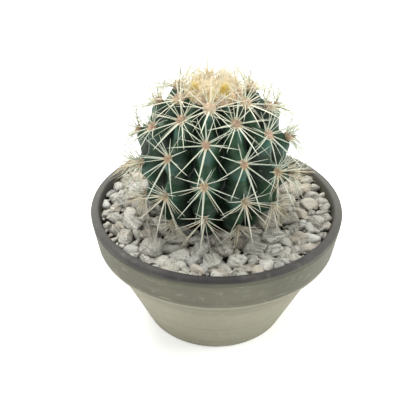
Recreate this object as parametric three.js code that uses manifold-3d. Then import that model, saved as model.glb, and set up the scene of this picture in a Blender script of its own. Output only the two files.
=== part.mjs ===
// A young barrel cactus with thirteen ribs, growing in a flared clay pot under a dressing of pumice.
// Millimetres, +Z up. The origin is the centre of the pot's underside, and the plant's show side faces -Y.
// Places on the plant are given by latitude (90 at the growing point) and azimuth (0 towards -Y, growing
// towards +X), both in degrees.

import * as THREE from 'three';
import { mergeVertices } from 'three/addons/utils/BufferGeometryUtils.js';
import Module from 'manifold-3d';

// Driving dimensions
const GAP = 0.35;                 // clear distance between pieces that lie on each other
const SPINE_CLEARANCE = 0.14;     // least distance between spines of different clusters

const POT = {
  rimRadius: 70,
  height: 72.6,
  rimRound: 1.9,
  rimInnerRadius: 65.4,
  bandFoot: 52,                   // height at which the rim band steps in to the wall
  bandFootRadius: 67.6,
  wallTopRadius: 63.6,
  baseRadius: 42.6,
  baseChamfer: 1.2,
  wall: 4.4,
  floor: 6,
  drainRadius: 6,
  segments: 48,
};

const SOIL = { top: 62, segments: 24, rootHoleDepth: 48.5 };

const GRAVEL = {
  bedTop: 65.4,
  innerEdge: 26,                  // stones lie between this distance from the middle and the pot wall
  stoneCount: 110,
  largestStone: 7.4,
  smallestStone: 3.7,
  draws: 20000,
  crowding: 0.72,                 // 1 keeps stones apart, less lets them nestle
  underRibs: 0.45,                // room towards the crests, as a share of a stone's size
  sink: 0.12,                     // height of a stone's middle over the bed, as a share of its size
};

const BODY = {
  x: -2,
  z: 99.7,
  radius: 40.2,
  halfHeight: 41.6,
  shoulder: 0.03,                 // how much fuller than an ellipsoid the shoulders are, as a share
  flatTop: 0.045,                 // how much flatter the top is, as a share
  ribs: 13,
  firstRib: -7.2,                 // azimuth of the rib that faces the viewer
  furrowDepth: 8.8,
  crestRound: 0.26,               // rounding of the crest, as a share of half a rib
  tubercle: 1.7,                  // rise of the crest under each areole
  notch: 1.5,                     // dip of the crest between two areoles
  weave: 0.09,                    // sideways swing of the furrows, in ribs
  tubercleDrop: 0.12,             // how far below its areole a tubercle peaks, in rows
  lowestLatitude: -62,
  highestLatitude: 81,
  rows: 26,
  rootRadius: 8.6,
  rootFoot: 50,
};

// Areoles wind round the plant: each rib's areoles start 6/13 of a row lower than its neighbour's, a little
// more at the front and less at the back.
const AREOLES = {
  firstLatitude: 61.4,
  rowPitch: 25,
  rowPitchGrowth: 0.33,
  ribShift: 6 / 13,
  shiftPlay: 0.11,
  youngestRow: -0.12,             // rows above this one belong to the crown
  rowsOnRib: 4,
  halfWidth: 2,
  halfHeight: 2.4,
  thickness: 1.7,
  youngShare: 1.05,               // size of a felt pad in the first row below the crown
  oldShare: 0.72,                 // and in the last row
  frontShare: 0.7,                // size of the felt pad's front against its back
  sides: 9,
};

const CROWN = {
  edgeLatitude: 68,               // the wool reaches down to here, and lower round a young areole
  margin: 3.4,                    // degrees of wool below a young areole
  rings: 3,
  wool: 3.6,
  edgeWool: 1.9,
  underside: 0.9,
};

// Spines of a grown areole: clock angle from straight up, lift off the skin (both degrees), length, radius.
// The first nine stand round the felt pad, one on each of its sides. The last grows from its front.
const GROWN_SPINES = [
  { clock: 20, lift: 36, length: 14, radius: 0.38 },
  { clock: 60, lift: 30, length: 16, radius: 0.38 },
  { clock: 100, lift: 27, length: 19, radius: 0.4 },
  { clock: 140, lift: 25, length: 21, radius: 0.42 },
  { clock: 180, lift: 30, length: 23, radius: 0.56 },
  { clock: 220, lift: 25, length: 21, radius: 0.42 },
  { clock: 260, lift: 27, length: 19, radius: 0.4 },
  { clock: 300, lift: 30, length: 16, radius: 0.38 },
  { clock: 340, lift: 36, length: 14, radius: 0.38 },
  { clock: 0, lift: 56, length: 16, radius: 0.48, onFront: true },
];

const YOUNG_SPINES = [
  { clock: 0, lift: 74, length: 13, radius: 0.38 },
  { clock: 75, lift: 50, length: 14, radius: 0.36 },
  { clock: -75, lift: 50, length: 14, radius: 0.36 },
  { clock: 140, lift: 44, length: 15, radius: 0.38 },
  { clock: -140, lift: 44, length: 15, radius: 0.38 },
];

const SEEDS = { scatter: 41, stoneShape: 11, spines: 22 };

const SPINE = {
  rootSpread: 1.2,                // distance of a spine's root from the middle of its areole
  rootLift: 0.75,
  bend: 0.1,                      // sag towards the skin at the tip, as a share of the length
  middleShare: 0.5,
  middleRadius: 0.74,
  attempts: 90,
  clockPlay: 17,
  liftPlay: 20,
  shortening: 0.8,
  shortest: 6,
};

const COLOURS = {
  pot: 0x7d7b6c,
  soil: 0x3b3128,
  gravel: 0xb9b1a4,
  skin: 0x24493a,
  spine: 0xe9dfc4,
  wool: 0xe3cf94,
};

const RAD = Math.PI / 180;
const wasm = await Module();
wasm.setup();

// Random draws that come out the same on every run
function seededRandom(seed) {
  let state = seed;
  return () => {
    state = (state + 0x6d2b79f5) | 0;
    let mixed = Math.imul(state ^ (state >>> 15), 1 | state);
    mixed = (mixed + Math.imul(mixed ^ (mixed >>> 7), 61 | mixed)) ^ mixed;
    return ((mixed ^ (mixed >>> 14)) >>> 0) / 4294967296;
  };
}

// Closed solids

function toSolid(geometry) {
  const bare = geometry.clone();
  bare.deleteAttribute('normal');
  bare.deleteAttribute('uv');
  const merged = mergeVertices(bare, 1e-4);
  return new wasm.Manifold(new wasm.Mesh({
    numProp: 3,
    vertProperties: Float32Array.from(merged.attributes.position.array),
    triVerts: Uint32Array.from(merged.index.array),
  }));
}

function toGeometry(solid) {
  const mesh = solid.getMesh();
  const geometry = new THREE.BufferGeometry();
  geometry.setAttribute('position', new THREE.BufferAttribute(Float32Array.from(mesh.vertProperties), 3));
  geometry.setIndex(new THREE.BufferAttribute(Uint32Array.from(mesh.triVerts), 1));
  geometry.computeVertexNormals();
  return geometry;
}

function joinAll(solids) {
  return solids.reduce((joined, solid) => joined.add(solid));
}

// Skins rings of equal length between a start and an end point. Seen from the end, rings run anticlockwise.
function skinRings(start, rings, end) {
  const count = rings[0].length;
  const points = [start, ...rings.flat(), end];
  const last = points.length - 1;
  const index = [];
  for (let i = 0; i < count; i += 1) {
    const next = (i + 1) % count;
    index.push(0, 1 + next, 1 + i);
    for (let r = 1; r < rings.length; r += 1) {
      const low = 1 + (r - 1) * count;
      const high = low + count;
      index.push(low + i, low + next, high + next, low + i, high + next, high + i);
    }
    const top = 1 + (rings.length - 1) * count;
    index.push(top + i, top + next, last);
  }
  const geometry = new THREE.BufferGeometry().setFromPoints(points);
  geometry.setIndex(index);
  return geometry;
}

function lathe(profile, segments) {
  return new THREE.LatheGeometry(profile.map(([r, z]) => new THREE.Vector2(r, z)), segments).rotateX(Math.PI / 2);
}

// Pot

function potInnerRadius(z) {
  const ledge = POT.bandFoot - POT.wall / 2;
  if (z > ledge) {
    return THREE.MathUtils.mapLinear(z, ledge, POT.height, POT.wallTopRadius - POT.wall + 2.6, POT.rimInnerRadius);
  }
  const slope = (POT.wallTopRadius - POT.baseRadius) / POT.bandFoot;
  return POT.baseRadius + slope * z - POT.wall;
}

function potGeometry() {
  const ledge = POT.bandFoot - POT.wall / 2;
  const rim = POT.height - POT.rimRound;
  const profile = [
    [POT.drainRadius, 0],
    [POT.baseRadius - POT.baseChamfer, 0],
    [POT.baseRadius, POT.baseChamfer],
    [POT.wallTopRadius, POT.bandFoot - 0.8],
    [POT.bandFootRadius - 0.6, POT.bandFoot],
    [POT.bandFootRadius, POT.bandFoot + 1],
    [POT.rimRadius, rim],
    [POT.rimRadius - 0.35 * POT.rimRound, POT.height - 0.3 * POT.rimRound],
    [POT.rimRadius - POT.rimRound, POT.height],
    [POT.rimInnerRadius + 0.6, POT.height],
    [potInnerRadius(rim), rim],
    [potInnerRadius(ledge + 3), ledge + 3],
    [potInnerRadius(ledge), ledge],
    [potInnerRadius(POT.floor), POT.floor],
    [POT.drainRadius, POT.floor],
    [POT.drainRadius, 0],
  ];
  return lathe(profile, POT.segments);
}

// Cactus body

function ribAzimuth(rib) {
  return BODY.firstRib + (rib * 360) / BODY.ribs;
}

function areoleLatitude(row) {
  return AREOLES.firstLatitude - AREOLES.rowPitch * row - AREOLES.rowPitchGrowth * row * row;
}

// Row at which a rib's areoles start, growing by whole rows all round the plant. Ribs may be counted in parts.
function rowShift(rib) {
  return AREOLES.ribShift * rib + AREOLES.shiftPlay * Math.sin((2 * Math.PI * rib) / BODY.ribs);
}

function rowAt(latitude) {
  const { firstLatitude, rowPitch, rowPitchGrowth } = AREOLES;
  const root = Math.sqrt(rowPitch * rowPitch + 4 * rowPitchGrowth * (firstLatitude - latitude));
  return (root - rowPitch) / (2 * rowPitchGrowth);
}

// 0 on the crest, 1 in the furrow: a hyperbola, rounded on the crest and sharp in the furrow
function furrowShare(across) {
  const round = BODY.crestRound;
  return (Math.hypot(across, round) - round) / (Math.hypot(1, round) - round);
}

// How far the skin swings aside at a place, in ribs. A rib is wide at its areoles and narrow between them, so
// the furrows weave. Turns are counted in ribs from the first crest.
function weaveAt(latitude, turns) {
  const girth = Math.max(Math.cos(latitude * RAD), 0);
  const phase = rowAt(latitude) - rowShift(turns - 0.5) - BODY.tubercleDrop;
  return BODY.weave * girth * Math.sin(Math.PI * turns) ** 2 * Math.cos(2 * Math.PI * phase);
}

// Azimuth of a line along a rib: place 0 is its crest, -1 and 1 its furrows
function ribLineAzimuth(latitude, rib, place) {
  const straight = rib + place / 2;
  let turns = straight;
  for (let step = 0; step < 4; step += 1) {
    turns = straight + weaveAt(latitude, turns);
  }
  return ribAzimuth(turns);
}

// Line of the crests from below to the growing point, as a share of an ellipsoid
function crestScale(latitude) {
  const rise = Math.max(Math.sin(latitude * RAD), 0);
  return 1 + 4 * BODY.shoulder * rise ** 2 * (1 - rise ** 2) - BODY.flatTop * rise ** 6;
}

// Size of the body at a place, as a share of that ellipsoid
function bodyScale(latitude, azimuth) {
  const turns = ((azimuth - BODY.firstRib) / 360) * BODY.ribs;
  const straight = turns - weaveAt(latitude, turns);
  const rib = Math.round(straight);
  const across = 2 * (straight - rib);
  const girth = Math.max(Math.cos(latitude * RAD), 0);
  const furrow = BODY.furrowDepth * girth ** 0.85 * furrowShare(across);
  const phase = rowAt(latitude) - rowShift(rib) - BODY.tubercleDrop;
  const swell = 0.5 + 0.5 * Math.cos(2 * Math.PI * phase);
  const rise = THREE.MathUtils.lerp(-BODY.notch, BODY.tubercle, swell);
  const relief = rise * girth ** 0.5 * (1 - across * across) ** 2 - furrow;
  return crestScale(latitude) + relief / BODY.radius;
}

function bodyPoint(latitude, azimuth, lift = 0) {
  const scale = bodyScale(latitude, azimuth) + lift / BODY.radius;
  const across = scale * BODY.radius * Math.cos(latitude * RAD);
  return new THREE.Vector3(
    BODY.x + across * Math.sin(azimuth * RAD),
    -across * Math.cos(azimuth * RAD),
    BODY.z + scale * BODY.halfHeight * Math.sin(latitude * RAD),
  );
}

function latitudeOf(point) {
  const across = Math.hypot(point.x - BODY.x, point.y) / BODY.radius;
  return Math.atan2((point.z - BODY.z) / BODY.halfHeight, across) / RAD;
}

function heightOverCrests(point) {
  const across = Math.hypot(point.x - BODY.x, point.y) / BODY.radius;
  const up = (point.z - BODY.z) / BODY.halfHeight;
  return (Math.hypot(across, up) - crestScale(latitudeOf(point))) * BODY.radius;
}

// Height of the crown's wool over the crests, 0 below its edge
function woolLift(latitude) {
  const share = (90 - latitude) / (90 - CROWN.edgeLatitude);
  return share > 1.3 ? 0 : CROWN.underside + THREE.MathUtils.lerp(CROWN.wool, CROWN.edgeWool, share * share);
}

function latitudeRow(row) {
  return THREE.MathUtils.mapLinear(row, 0, BODY.rows - 1, BODY.lowestLatitude, BODY.highestLatitude);
}

// A ring over every rib, through the given places across half a rib
function bodyRing(latitude, places, lift) {
  const ring = [];
  for (let rib = 0; rib < BODY.ribs; rib += 1) {
    for (const place of places) {
      ring.push(bodyPoint(latitude, ribLineAzimuth(latitude, rib, place), lift));
    }
  }
  return ring;
}

function levelRing(ring, radius, z) {
  const middle = new THREE.Vector3(BODY.x, 0, z);
  return ring.map((point) => {
    const out = new THREE.Vector3(point.x - BODY.x, point.y, 0).setLength(radius);
    return out.add(middle);
  });
}

function bodyGeometry(lift = 0) {
  const places = [-0.45, 0, 0.45, 1];
  const rings = [];
  for (let row = 0; row < BODY.rows; row += 1) {
    rings.push(bodyRing(latitudeRow(row), places, lift));
  }
  const neck = levelRing(rings[0], BODY.rootRadius + lift, BODY.z - BODY.halfHeight + 1 - lift);
  const foot = levelRing(rings[0], BODY.rootRadius - 1 + lift, BODY.rootFoot - lift);
  const start = new THREE.Vector3(BODY.x, 0, BODY.rootFoot - lift);
  return skinRings(start, [foot, neck, ...rings], bodyPoint(90, 0, lift - 0.6));
}

// Soil: fills the pot up to the gravel, with a plain hole in which the plant's underside and root stand
function soilGeometry() {
  const ledge = POT.bandFoot - POT.wall / 2;
  const filling = lathe([
    [0, POT.floor + GAP],
    [potInnerRadius(POT.floor) - GAP, POT.floor + GAP],
    [potInnerRadius(ledge) - GAP, ledge],
    [potInnerRadius(SOIL.top) - GAP, SOIL.top],
    [0, SOIL.top],
  ], SOIL.segments);
  const holeProfile = [[0, SOIL.rootHoleDepth], [BODY.rootRadius + 2 * GAP, SOIL.rootHoleDepth]];
  for (const latitude of [-74, -66, -58, -50]) {
    const scale = 1 + (BODY.tubercle + GAP) / BODY.radius;
    const radius = scale * BODY.radius * Math.cos(latitude * RAD);
    holeProfile.push([radius, BODY.z + scale * BODY.halfHeight * Math.sin(latitude * RAD)]);
  }
  holeProfile.push([0, holeProfile.at(-1)[1]]);
  const hole = lathe(holeProfile, SOIL.segments).translate(BODY.x, 0, 0);
  return toGeometry(toSolid(filling).subtract(toSolid(hole)));
}

// Gravel

// Throws stones of falling size at the ring between plant and pot, and keeps those that find room
function scatterStones() {
  const random = seededRandom(SEEDS.scatter);
  const stones = [];
  for (let draw = 0; draw < GRAVEL.draws && stones.length < GRAVEL.stoneCount; draw += 1) {
    const share = (stones.length / GRAVEL.stoneCount) ** 0.8;
    const play = 0.9 + 0.2 * random();
    const size = play * THREE.MathUtils.lerp(GRAVEL.largestStone, GRAVEL.smallestStone, share);
    const distance = Math.sqrt(THREE.MathUtils.lerp(GRAVEL.innerEdge ** 2, POT.rimInnerRadius ** 2, random()));
    const turn = 2 * Math.PI * random();
    const height = GRAVEL.bedTop + GRAVEL.sink * size;
    const middle = new THREE.Vector3(distance * Math.cos(turn), distance * Math.sin(turn), height);
    const fitsPot = distance + size < potInnerRadius(GRAVEL.bedTop) - GAP;
    const fitsPlant = heightOverCrests(middle) > GRAVEL.underRibs * size;
    const fitsStones = stones.every((stone) => {
      const apart = Math.hypot(stone.middle.x - middle.x, stone.middle.y - middle.y);
      return apart > GRAVEL.crowding * (stone.size + size);
    });
    if (fitsPot && fitsPlant && fitsStones) {
      const flatness = 0.5 + 0.16 * random();
      const slimness = 0.68 + 0.26 * random();
      stones.push({ middle, size, flatness, slimness, turn: Math.PI * random() });
    }
  }
  return stones;
}

function stoneGeometry(stone, random) {
  const rough = new THREE.IcosahedronGeometry(1, 0);
  rough.deleteAttribute('normal');
  rough.deleteAttribute('uv');
  const geometry = mergeVertices(rough, 1e-3);
  const corner = new THREE.Vector3();
  for (let i = 0; i < geometry.attributes.position.count; i += 1) {
    corner.fromBufferAttribute(geometry.attributes.position, i).multiplyScalar(0.86 + 0.2 * random());
    geometry.attributes.position.setXYZ(i, corner.x, corner.y, corner.z);
  }
  geometry.rotateX(Math.PI * random());
  geometry.scale(stone.size, stone.size * stone.slimness, stone.size * stone.flatness);
  geometry.rotateY(0.4 * (random() - 0.5));
  geometry.rotateZ(stone.turn);
  return geometry.translate(stone.middle.x, stone.middle.y, stone.middle.z);
}

function gravelGeometry(stones) {
  const random = seededRandom(SEEDS.stoneShape);
  const bed = lathe([
    [0, SOIL.top + GAP],
    [potInnerRadius(SOIL.top) - GAP, SOIL.top + GAP],
    [potInnerRadius(GRAVEL.bedTop) - GAP, GRAVEL.bedTop],
    [0, GRAVEL.bedTop],
  ], POT.segments);
  const pile = joinAll([toSolid(bed), ...stones.map((stone) => toSolid(stoneGeometry(stone, random)))]);
  return toGeometry(pile.subtract(toSolid(bodyGeometry(GAP))));
}

function gravelTopAt(stones, point) {
  let top = GRAVEL.bedTop;
  for (const stone of stones) {
    const apart = Math.hypot(stone.middle.x - point.x, stone.middle.y - point.y) / stone.size;
    if (apart < 1) {
      top = Math.max(top, stone.middle.z + stone.size * stone.flatness * Math.sqrt(1 - apart * apart) + 0.3);
    }
  }
  return top;
}

// Spine clusters

// Frame of a place on the skin: its outward normal, the way up the rib and the way to the right
function skinFrame(latitude, azimuth) {
  const normal = new THREE.Vector3(
    (Math.cos(latitude * RAD) * Math.sin(azimuth * RAD)) / BODY.radius,
    (-Math.cos(latitude * RAD) * Math.cos(azimuth * RAD)) / BODY.radius,
    Math.sin(latitude * RAD) / BODY.halfHeight,
  ).normalize();
  const right = new THREE.Vector3(Math.cos(azimuth * RAD), Math.sin(azimuth * RAD), 0);
  return { normal, right, up: new THREE.Vector3().crossVectors(normal, right) };
}

// A point of the skin, moved over it by millimetres to the right and up the rib
function skinPoint(areole, right, up, lift) {
  const girth = BODY.radius * Math.cos(areole.latitude * RAD);
  return bodyPoint(areole.latitude + up / (BODY.halfHeight * RAD), areole.azimuth + right / (girth * RAD), lift);
}

// Felt pads dry and shrink with age
function padSize(areole) {
  const age = THREE.MathUtils.clamp(areole.row / AREOLES.rowsOnRib, 0, 1);
  return THREE.MathUtils.lerp(AREOLES.youngShare, AREOLES.oldShare, age);
}

// Facets of an areole's felt pad, three corners each, anticlockwise from outside. Side i faces clock angle
// 20 + 40 i and has two facets, and the front has one for each side.
function padFacets(areole) {
  const step = 360 / AREOLES.sides;
  const size = padSize(areole);
  const ring = (share, lift) => Array.from({ length: AREOLES.sides }, (_, i) => {
    const clock = i * step * RAD;
    const right = share * size * AREOLES.halfWidth * Math.sin(clock);
    return skinPoint(areole, right, share * size * AREOLES.halfHeight * Math.cos(clock), lift);
  });
  const back = ring(1, GAP);
  const front = ring(AREOLES.frontShare, GAP + 0.75 * size * AREOLES.thickness);
  const behind = skinPoint(areole, 0, 0, GAP);
  const peak = skinPoint(areole, 0, 0, GAP + size * AREOLES.thickness);
  const facets = { rear: [], foot: [], side: [], front: [] };
  for (let i = 0; i < AREOLES.sides; i += 1) {
    const next = (i + 1) % AREOLES.sides;
    facets.rear.push([behind, back[i], back[next]]);
    facets.foot.push([back[i], front[next], back[next]]);
    facets.side.push([back[i], front[i], front[next]]);
    facets.front.push([front[i], peak, front[next]]);
  }
  return facets;
}

// A curved spine: straight out along its clock angle and lift, sagging with the square of the way
function makeSpine(areole, rule, root, clock, lift, length) {
  const { normal, right, up } = areole.frame;
  const along = right.clone().multiplyScalar(Math.sin(clock * RAD)).addScaledVector(up, Math.cos(clock * RAD));
  along.multiplyScalar(Math.cos(lift * RAD)).addScaledVector(normal, Math.sin(lift * RAD));
  const at = (share) => root.clone()
    .addScaledVector(along, share * length)
    .addScaledVector(normal, -SPINE.bend * share * share * length);
  const middle = at(SPINE.middleShare);
  const tip = at(1);
  const lines = [new THREE.Line3(root, middle), new THREE.Line3(middle, tip)];
  return { areole, rule, along, at, root, middle, tip, lines, radius: rule.radius };
}

// The three-sided skin of a spine from a root facet over its middle to its tip, as facets
function spineFacets(spine, facet) {
  const centre = facet.reduce((sum, corner) => sum.add(corner), new THREE.Vector3()).divideScalar(3);
  const middle = facet.map((corner) => corner.clone().sub(centre).projectOnPlane(spine.along)
    .setLength(SPINE.middleRadius * spine.radius)
    .add(spine.middle));
  const facets = [];
  for (let i = 0; i < 3; i += 1) {
    const next = (i + 1) % 3;
    facets.push([facet[i], facet[next], middle[next]]);
    facets.push([facet[i], middle[next], middle[i]]);
    facets.push([middle[i], middle[next], spine.tip]);
  }
  return facets;
}

// A root facet square to the spine, for a spine that is sunk into the wool
function rootFacet(spine) {
  const side = new THREE.Vector3().crossVectors(spine.along, new THREE.Vector3(0.6, 0.8, 0)).normalize();
  const other = new THREE.Vector3().crossVectors(spine.along, side);
  return [90, 210, 330].map((turn) => spine.root.clone()
    .addScaledVector(side, spine.radius * Math.cos(turn * RAD))
    .addScaledVector(other, spine.radius * Math.sin(turn * RAD)));
}

function facetsToGeometry(facets) {
  return new THREE.BufferGeometry().setFromPoints(facets.flat());
}

const nearA = new THREE.Vector3();
const nearB = new THREE.Vector3();

function linesApart(spine, other) {
  const reach = spine.radius + other.radius + SPINE_CLEARANCE;
  return spine.lines.every((line) => other.lines.every((otherLine) => (
    line.distanceSqToLine3(otherLine, nearA, nearB) > reach * reach
  )));
}

// A spine is clear where it stays off the skin, the gravel, the pot, other areoles and their spines
function isClear(spine, placed, areoles, stones) {
  const way = [0.25, 0.5, 0.75, 1].map(spine.at);
  const free = way.every((point) => {
    const cover = spine.areole.isYoung ? 0 : woolLift(latitudeOf(point));
    const offSkin = heightOverCrests(point) > Math.max(BODY.tubercle, cover) + spine.radius + SPINE_CLEARANCE;
    const offGravel = point.z - spine.radius > gravelTopAt(stones, point) + SPINE_CLEARANCE;
    return offSkin && offGravel && Math.hypot(point.x, point.y) < POT.rimInnerRadius - 2;
  });
  const offAreoles = areoles.every((areole) => areole === spine.areole || spine.lines.every((line) => (
    line.closestPointToPoint(areole.middle, true, nearA).distanceTo(areole.middle) > AREOLES.halfHeight + 1.2
  )));
  return free && offAreoles && placed.every((other) => other.areole === spine.areole || linesApart(spine, other));
}

// Where a rule's spine leaves its areole: from a facet of the felt pad, or from deep in the wool
function spineRoot(areole, rule, index) {
  if (areole.isYoung) {
    const clock = rule.clock * RAD;
    const spread = SPINE.rootSpread;
    return skinPoint(areole, spread * Math.sin(clock), spread * Math.cos(clock), GAP + SPINE.rootLift);
  }
  const facet = rule.onFront ? areole.pad.front[0] : areole.pad.side[index];
  return facet.reduce((sum, corner) => sum.add(corner), new THREE.Vector3()).divideScalar(3);
}

// Tries the rule's own direction first and then turns away from it, ever further, until the spine is clear
function placeSpine(areole, rule, index, placed, areoles, stones, random) {
  const root = spineRoot(areole, rule, index);
  const lengths = [1, SPINE.shortening, SPINE.shortening ** 2].map((share) => share * rule.length * vigourOf(areole));
  for (const length of lengths) {
    for (let attempt = 0; attempt < SPINE.attempts && length > SPINE.shortest; attempt += 1) {
      const play = 0.2 + attempt / SPINE.attempts;
      const clock = rule.clock + play * SPINE.clockPlay * (2 * random() - 1);
      const lift = rule.lift + play * SPINE.liftPlay * (1.4 * random() - 0.4);
      const spine = makeSpine(areole, rule, root, clock, lift, length * (0.92 + 0.16 * random()));
      if (isClear(spine, placed, areoles, stones)) {
        spine.index = index;
        placed.push(spine);
        return spine;
      }
    }
  }
  return null;
}

// The areoles of every rib, oldest first
function listAreoles() {
  const areoles = [];
  for (let rib = 0; rib < BODY.ribs; rib += 1) {
    const shift = rowShift(rib) % 1;
    const first = Math.ceil(AREOLES.youngestRow - 1 - shift);
    for (let place = 0; place <= AREOLES.rowsOnRib; place += 1) {
      const row = first + place + shift;
      const latitude = Math.min(areoleLatitude(row), 88);
      const azimuth = ribAzimuth(rib);
      const areole = { rib, place, row, latitude, azimuth, isYoung: place === 0 };
      areole.middle = bodyPoint(latitude, azimuth, GAP);
      areole.frame = skinFrame(latitude, azimuth);
      areole.pad = padFacets(areole);
      areoles.push(areole);
    }
  }
  return areoles.sort((a, b) => b.row - a.row);
}

// Old areoles near the gravel carry shorter spines
function vigourOf(areole) {
  return THREE.MathUtils.clamp(THREE.MathUtils.mapLinear(areole.row, 1.6, 3.8, 1, 0.72), 0.72, 1);
}

// Felt pad with its spines, each of which grows out of a facet of the pad
function clusterGeometry(areole, spines) {
  const { rear, foot, side, front } = areole.pad;
  const open = new Set(spines.map((spine) => (spine.rule.onFront ? front[0] : side[spine.index])));
  const facets = [...rear, ...foot, ...side, ...front].filter((facet) => !open.has(facet));
  for (const spine of spines) {
    facets.push(...spineFacets(spine, spine.rule.onFront ? front[0] : side[spine.index]));
  }
  return facetsToGeometry(facets);
}

// Crown: a low cushion of wool over the growing point, with the youngest areoles' tufts
function crownGeometry(areoles, spines) {
  const edges = areoles.filter((areole) => areole.isYoung).sort((a, b) => a.rib - b.rib)
    .map((areole) => Math.min(CROWN.edgeLatitude, areole.latitude - CROWN.margin));
  const columns = edges.flatMap((edge, rib) => [
    { azimuth: ribAzimuth(rib), edge },
    { azimuth: ribAzimuth(rib + 0.5), edge: (edge + edges[(rib + 1) % BODY.ribs]) / 2 },
  ]);
  const ring = (share, liftOf) => columns.map(({ azimuth, edge }) => {
    const latitude = 90 - share * (90 - edge);
    return bodyPoint(latitude, azimuth, liftOf(latitude));
  });
  const shares = Array.from({ length: CROWN.rings }, (_, i) => (i + 1) / CROWN.rings);
  const lower = shares.map((share) => ring(share, () => CROWN.underside));
  const upper = shares.map((share) => ring(share, woolLift)).reverse();
  const start = bodyPoint(90, 0, CROWN.underside - 0.6);
  const end = bodyPoint(90, 0, woolLift(90));
  const cushion = skinRings(start, [...lower, ...upper], end);
  const sunk = spines.map((spine) => {
    const facet = rootFacet(spine);
    return facetsToGeometry([[...facet].reverse(), ...spineFacets(spine, facet)]);
  });
  return toGeometry(joinAll([cushion, ...sunk].map(toSolid)));
}

// Assembly

function addPiece(group, name, geometry, color, roughness) {
  const mesh = new THREE.Mesh(geometry, new THREE.MeshStandardMaterial({ color, roughness, metalness: 0 }));
  mesh.name = name;
  group.add(mesh);
}

const group = new THREE.Group();
const stones = scatterStones();
const areoles = listAreoles();
const placed = [];
const drawSpine = seededRandom(SEEDS.spines);

addPiece(group, 'pot', potGeometry(), COLOURS.pot, 0.85);
addPiece(group, 'soil', soilGeometry(), COLOURS.soil, 1);
addPiece(group, 'gravel', gravelGeometry(stones), COLOURS.gravel, 0.95);
addPiece(group, 'cactus_body', bodyGeometry(), COLOURS.skin, 0.6);

for (const areole of areoles) {
  const rules = areole.isYoung ? YOUNG_SPINES : GROWN_SPINES;
  areole.spines = rules
    .map((rule, index) => placeSpine(areole, rule, index, placed, areoles, stones, drawSpine))
    .filter((spine) => spine !== null);
}

const crownSpines = [];
for (const areole of areoles) {
  if (areole.isYoung) {
    crownSpines.push(...areole.spines);
  } else {
    const name = `spine_cluster_rib_${String(areole.rib + 1).padStart(2, '0')}_row_${areole.place}`;
    addPiece(group, name, clusterGeometry(areole, areole.spines), COLOURS.spine, 0.7);
  }
}
addPiece(group, 'crown', crownGeometry(areoles, crownSpines), COLOURS.wool, 0.9);

export default group;
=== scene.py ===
"""A young barrel cactus in a flared clay pot, dressed under plain studio light.

Shapes are worked out in millimetres in the frame of the solids: +Z up, the origin in the middle of the
pot's underside, the plant's show side towards -Y. A place on the plant is a latitude (90 at the growing
point) and an azimuth (0 towards -Y, growing towards +X), both in degrees. The meshes hold metres.
"""

import math
from types import SimpleNamespace

import bpy
import numpy as np
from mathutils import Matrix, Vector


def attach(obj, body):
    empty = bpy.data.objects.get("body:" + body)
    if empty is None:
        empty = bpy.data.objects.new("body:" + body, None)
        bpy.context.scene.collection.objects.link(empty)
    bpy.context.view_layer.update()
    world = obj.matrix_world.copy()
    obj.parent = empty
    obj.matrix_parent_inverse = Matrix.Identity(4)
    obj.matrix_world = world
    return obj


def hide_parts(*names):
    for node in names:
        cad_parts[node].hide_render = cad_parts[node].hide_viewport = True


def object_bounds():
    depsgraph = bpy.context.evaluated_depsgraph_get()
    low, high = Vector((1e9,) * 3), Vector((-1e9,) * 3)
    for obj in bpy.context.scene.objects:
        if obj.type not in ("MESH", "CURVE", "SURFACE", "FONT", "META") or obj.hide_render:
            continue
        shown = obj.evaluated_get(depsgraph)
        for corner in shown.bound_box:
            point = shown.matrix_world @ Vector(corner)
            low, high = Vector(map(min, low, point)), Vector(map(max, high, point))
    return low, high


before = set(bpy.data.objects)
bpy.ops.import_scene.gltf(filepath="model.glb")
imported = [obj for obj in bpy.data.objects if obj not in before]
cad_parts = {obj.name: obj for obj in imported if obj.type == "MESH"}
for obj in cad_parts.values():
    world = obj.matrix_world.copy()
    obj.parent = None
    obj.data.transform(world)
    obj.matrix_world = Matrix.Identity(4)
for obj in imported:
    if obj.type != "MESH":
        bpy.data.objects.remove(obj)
cad_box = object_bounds()

MM = 0.001

# Sizes of the solids
POT = SimpleNamespace(
    rim_radius=69.95, height=72.6, band_foot=52.0, band_foot_radius=67.6, wall_top_radius=63.6,
    base_radius=42.6, wall=4.4, floor=6.0, drain_radius=6.0, inner_ledge=49.8, inner_ledge_radius=61.8,
    rim_inner_radius=65.4, segments=192,
)
BODY = SimpleNamespace(
    x=-2.0, z=99.7, radius=40.2, half_height=41.6, shoulder=0.03, flat_top=0.045, ribs=13, first_rib=-7.2,
    furrow_depth=8.8, crest_round=0.26, tubercle=1.7, notch=1.5, weave=0.09, tubercle_drop=0.12,
    lowest_latitude=-62.0, root_radius=8.6, root_top=59.1, root_foot=50.0, columns_per_rib=28, rows=220,
)
AREOLES = SimpleNamespace(
    first_latitude=61.4, row_pitch=25.0, pitch_growth=0.33, rib_shift=6 / 13, shift_play=0.11,
    youngest_row=-0.12, rows_on_rib=4, half_width=2.0, half_height=2.4, thickness=1.7, young_share=1.05,
    old_share=0.72,
)
GRAVEL = SimpleNamespace(
    bed_foot=62.35, bed_top=65.4, inner_edge=26.0, stone_count=110, largest_stone=7.4, smallest_stone=3.7,
    size_fall=0.8, play=(0.9, 0.2), flatness=(0.5, 0.16), slimness=(0.68, 0.26), draws=20000, crowding=0.72,
    under_ribs=0.45, sink=0.12, seed=41, gap=0.35,
)
# In the middle the wool is nearly two millimetres lower than the solid's, to leave room for its fibres.
CROWN = SimpleNamespace(edge_latitude=68.0, margin=3.4, wool=1.7, edge_wool=1.9, underside=0.9)
TOP = cad_box[1][2] / MM - 0.1

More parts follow.
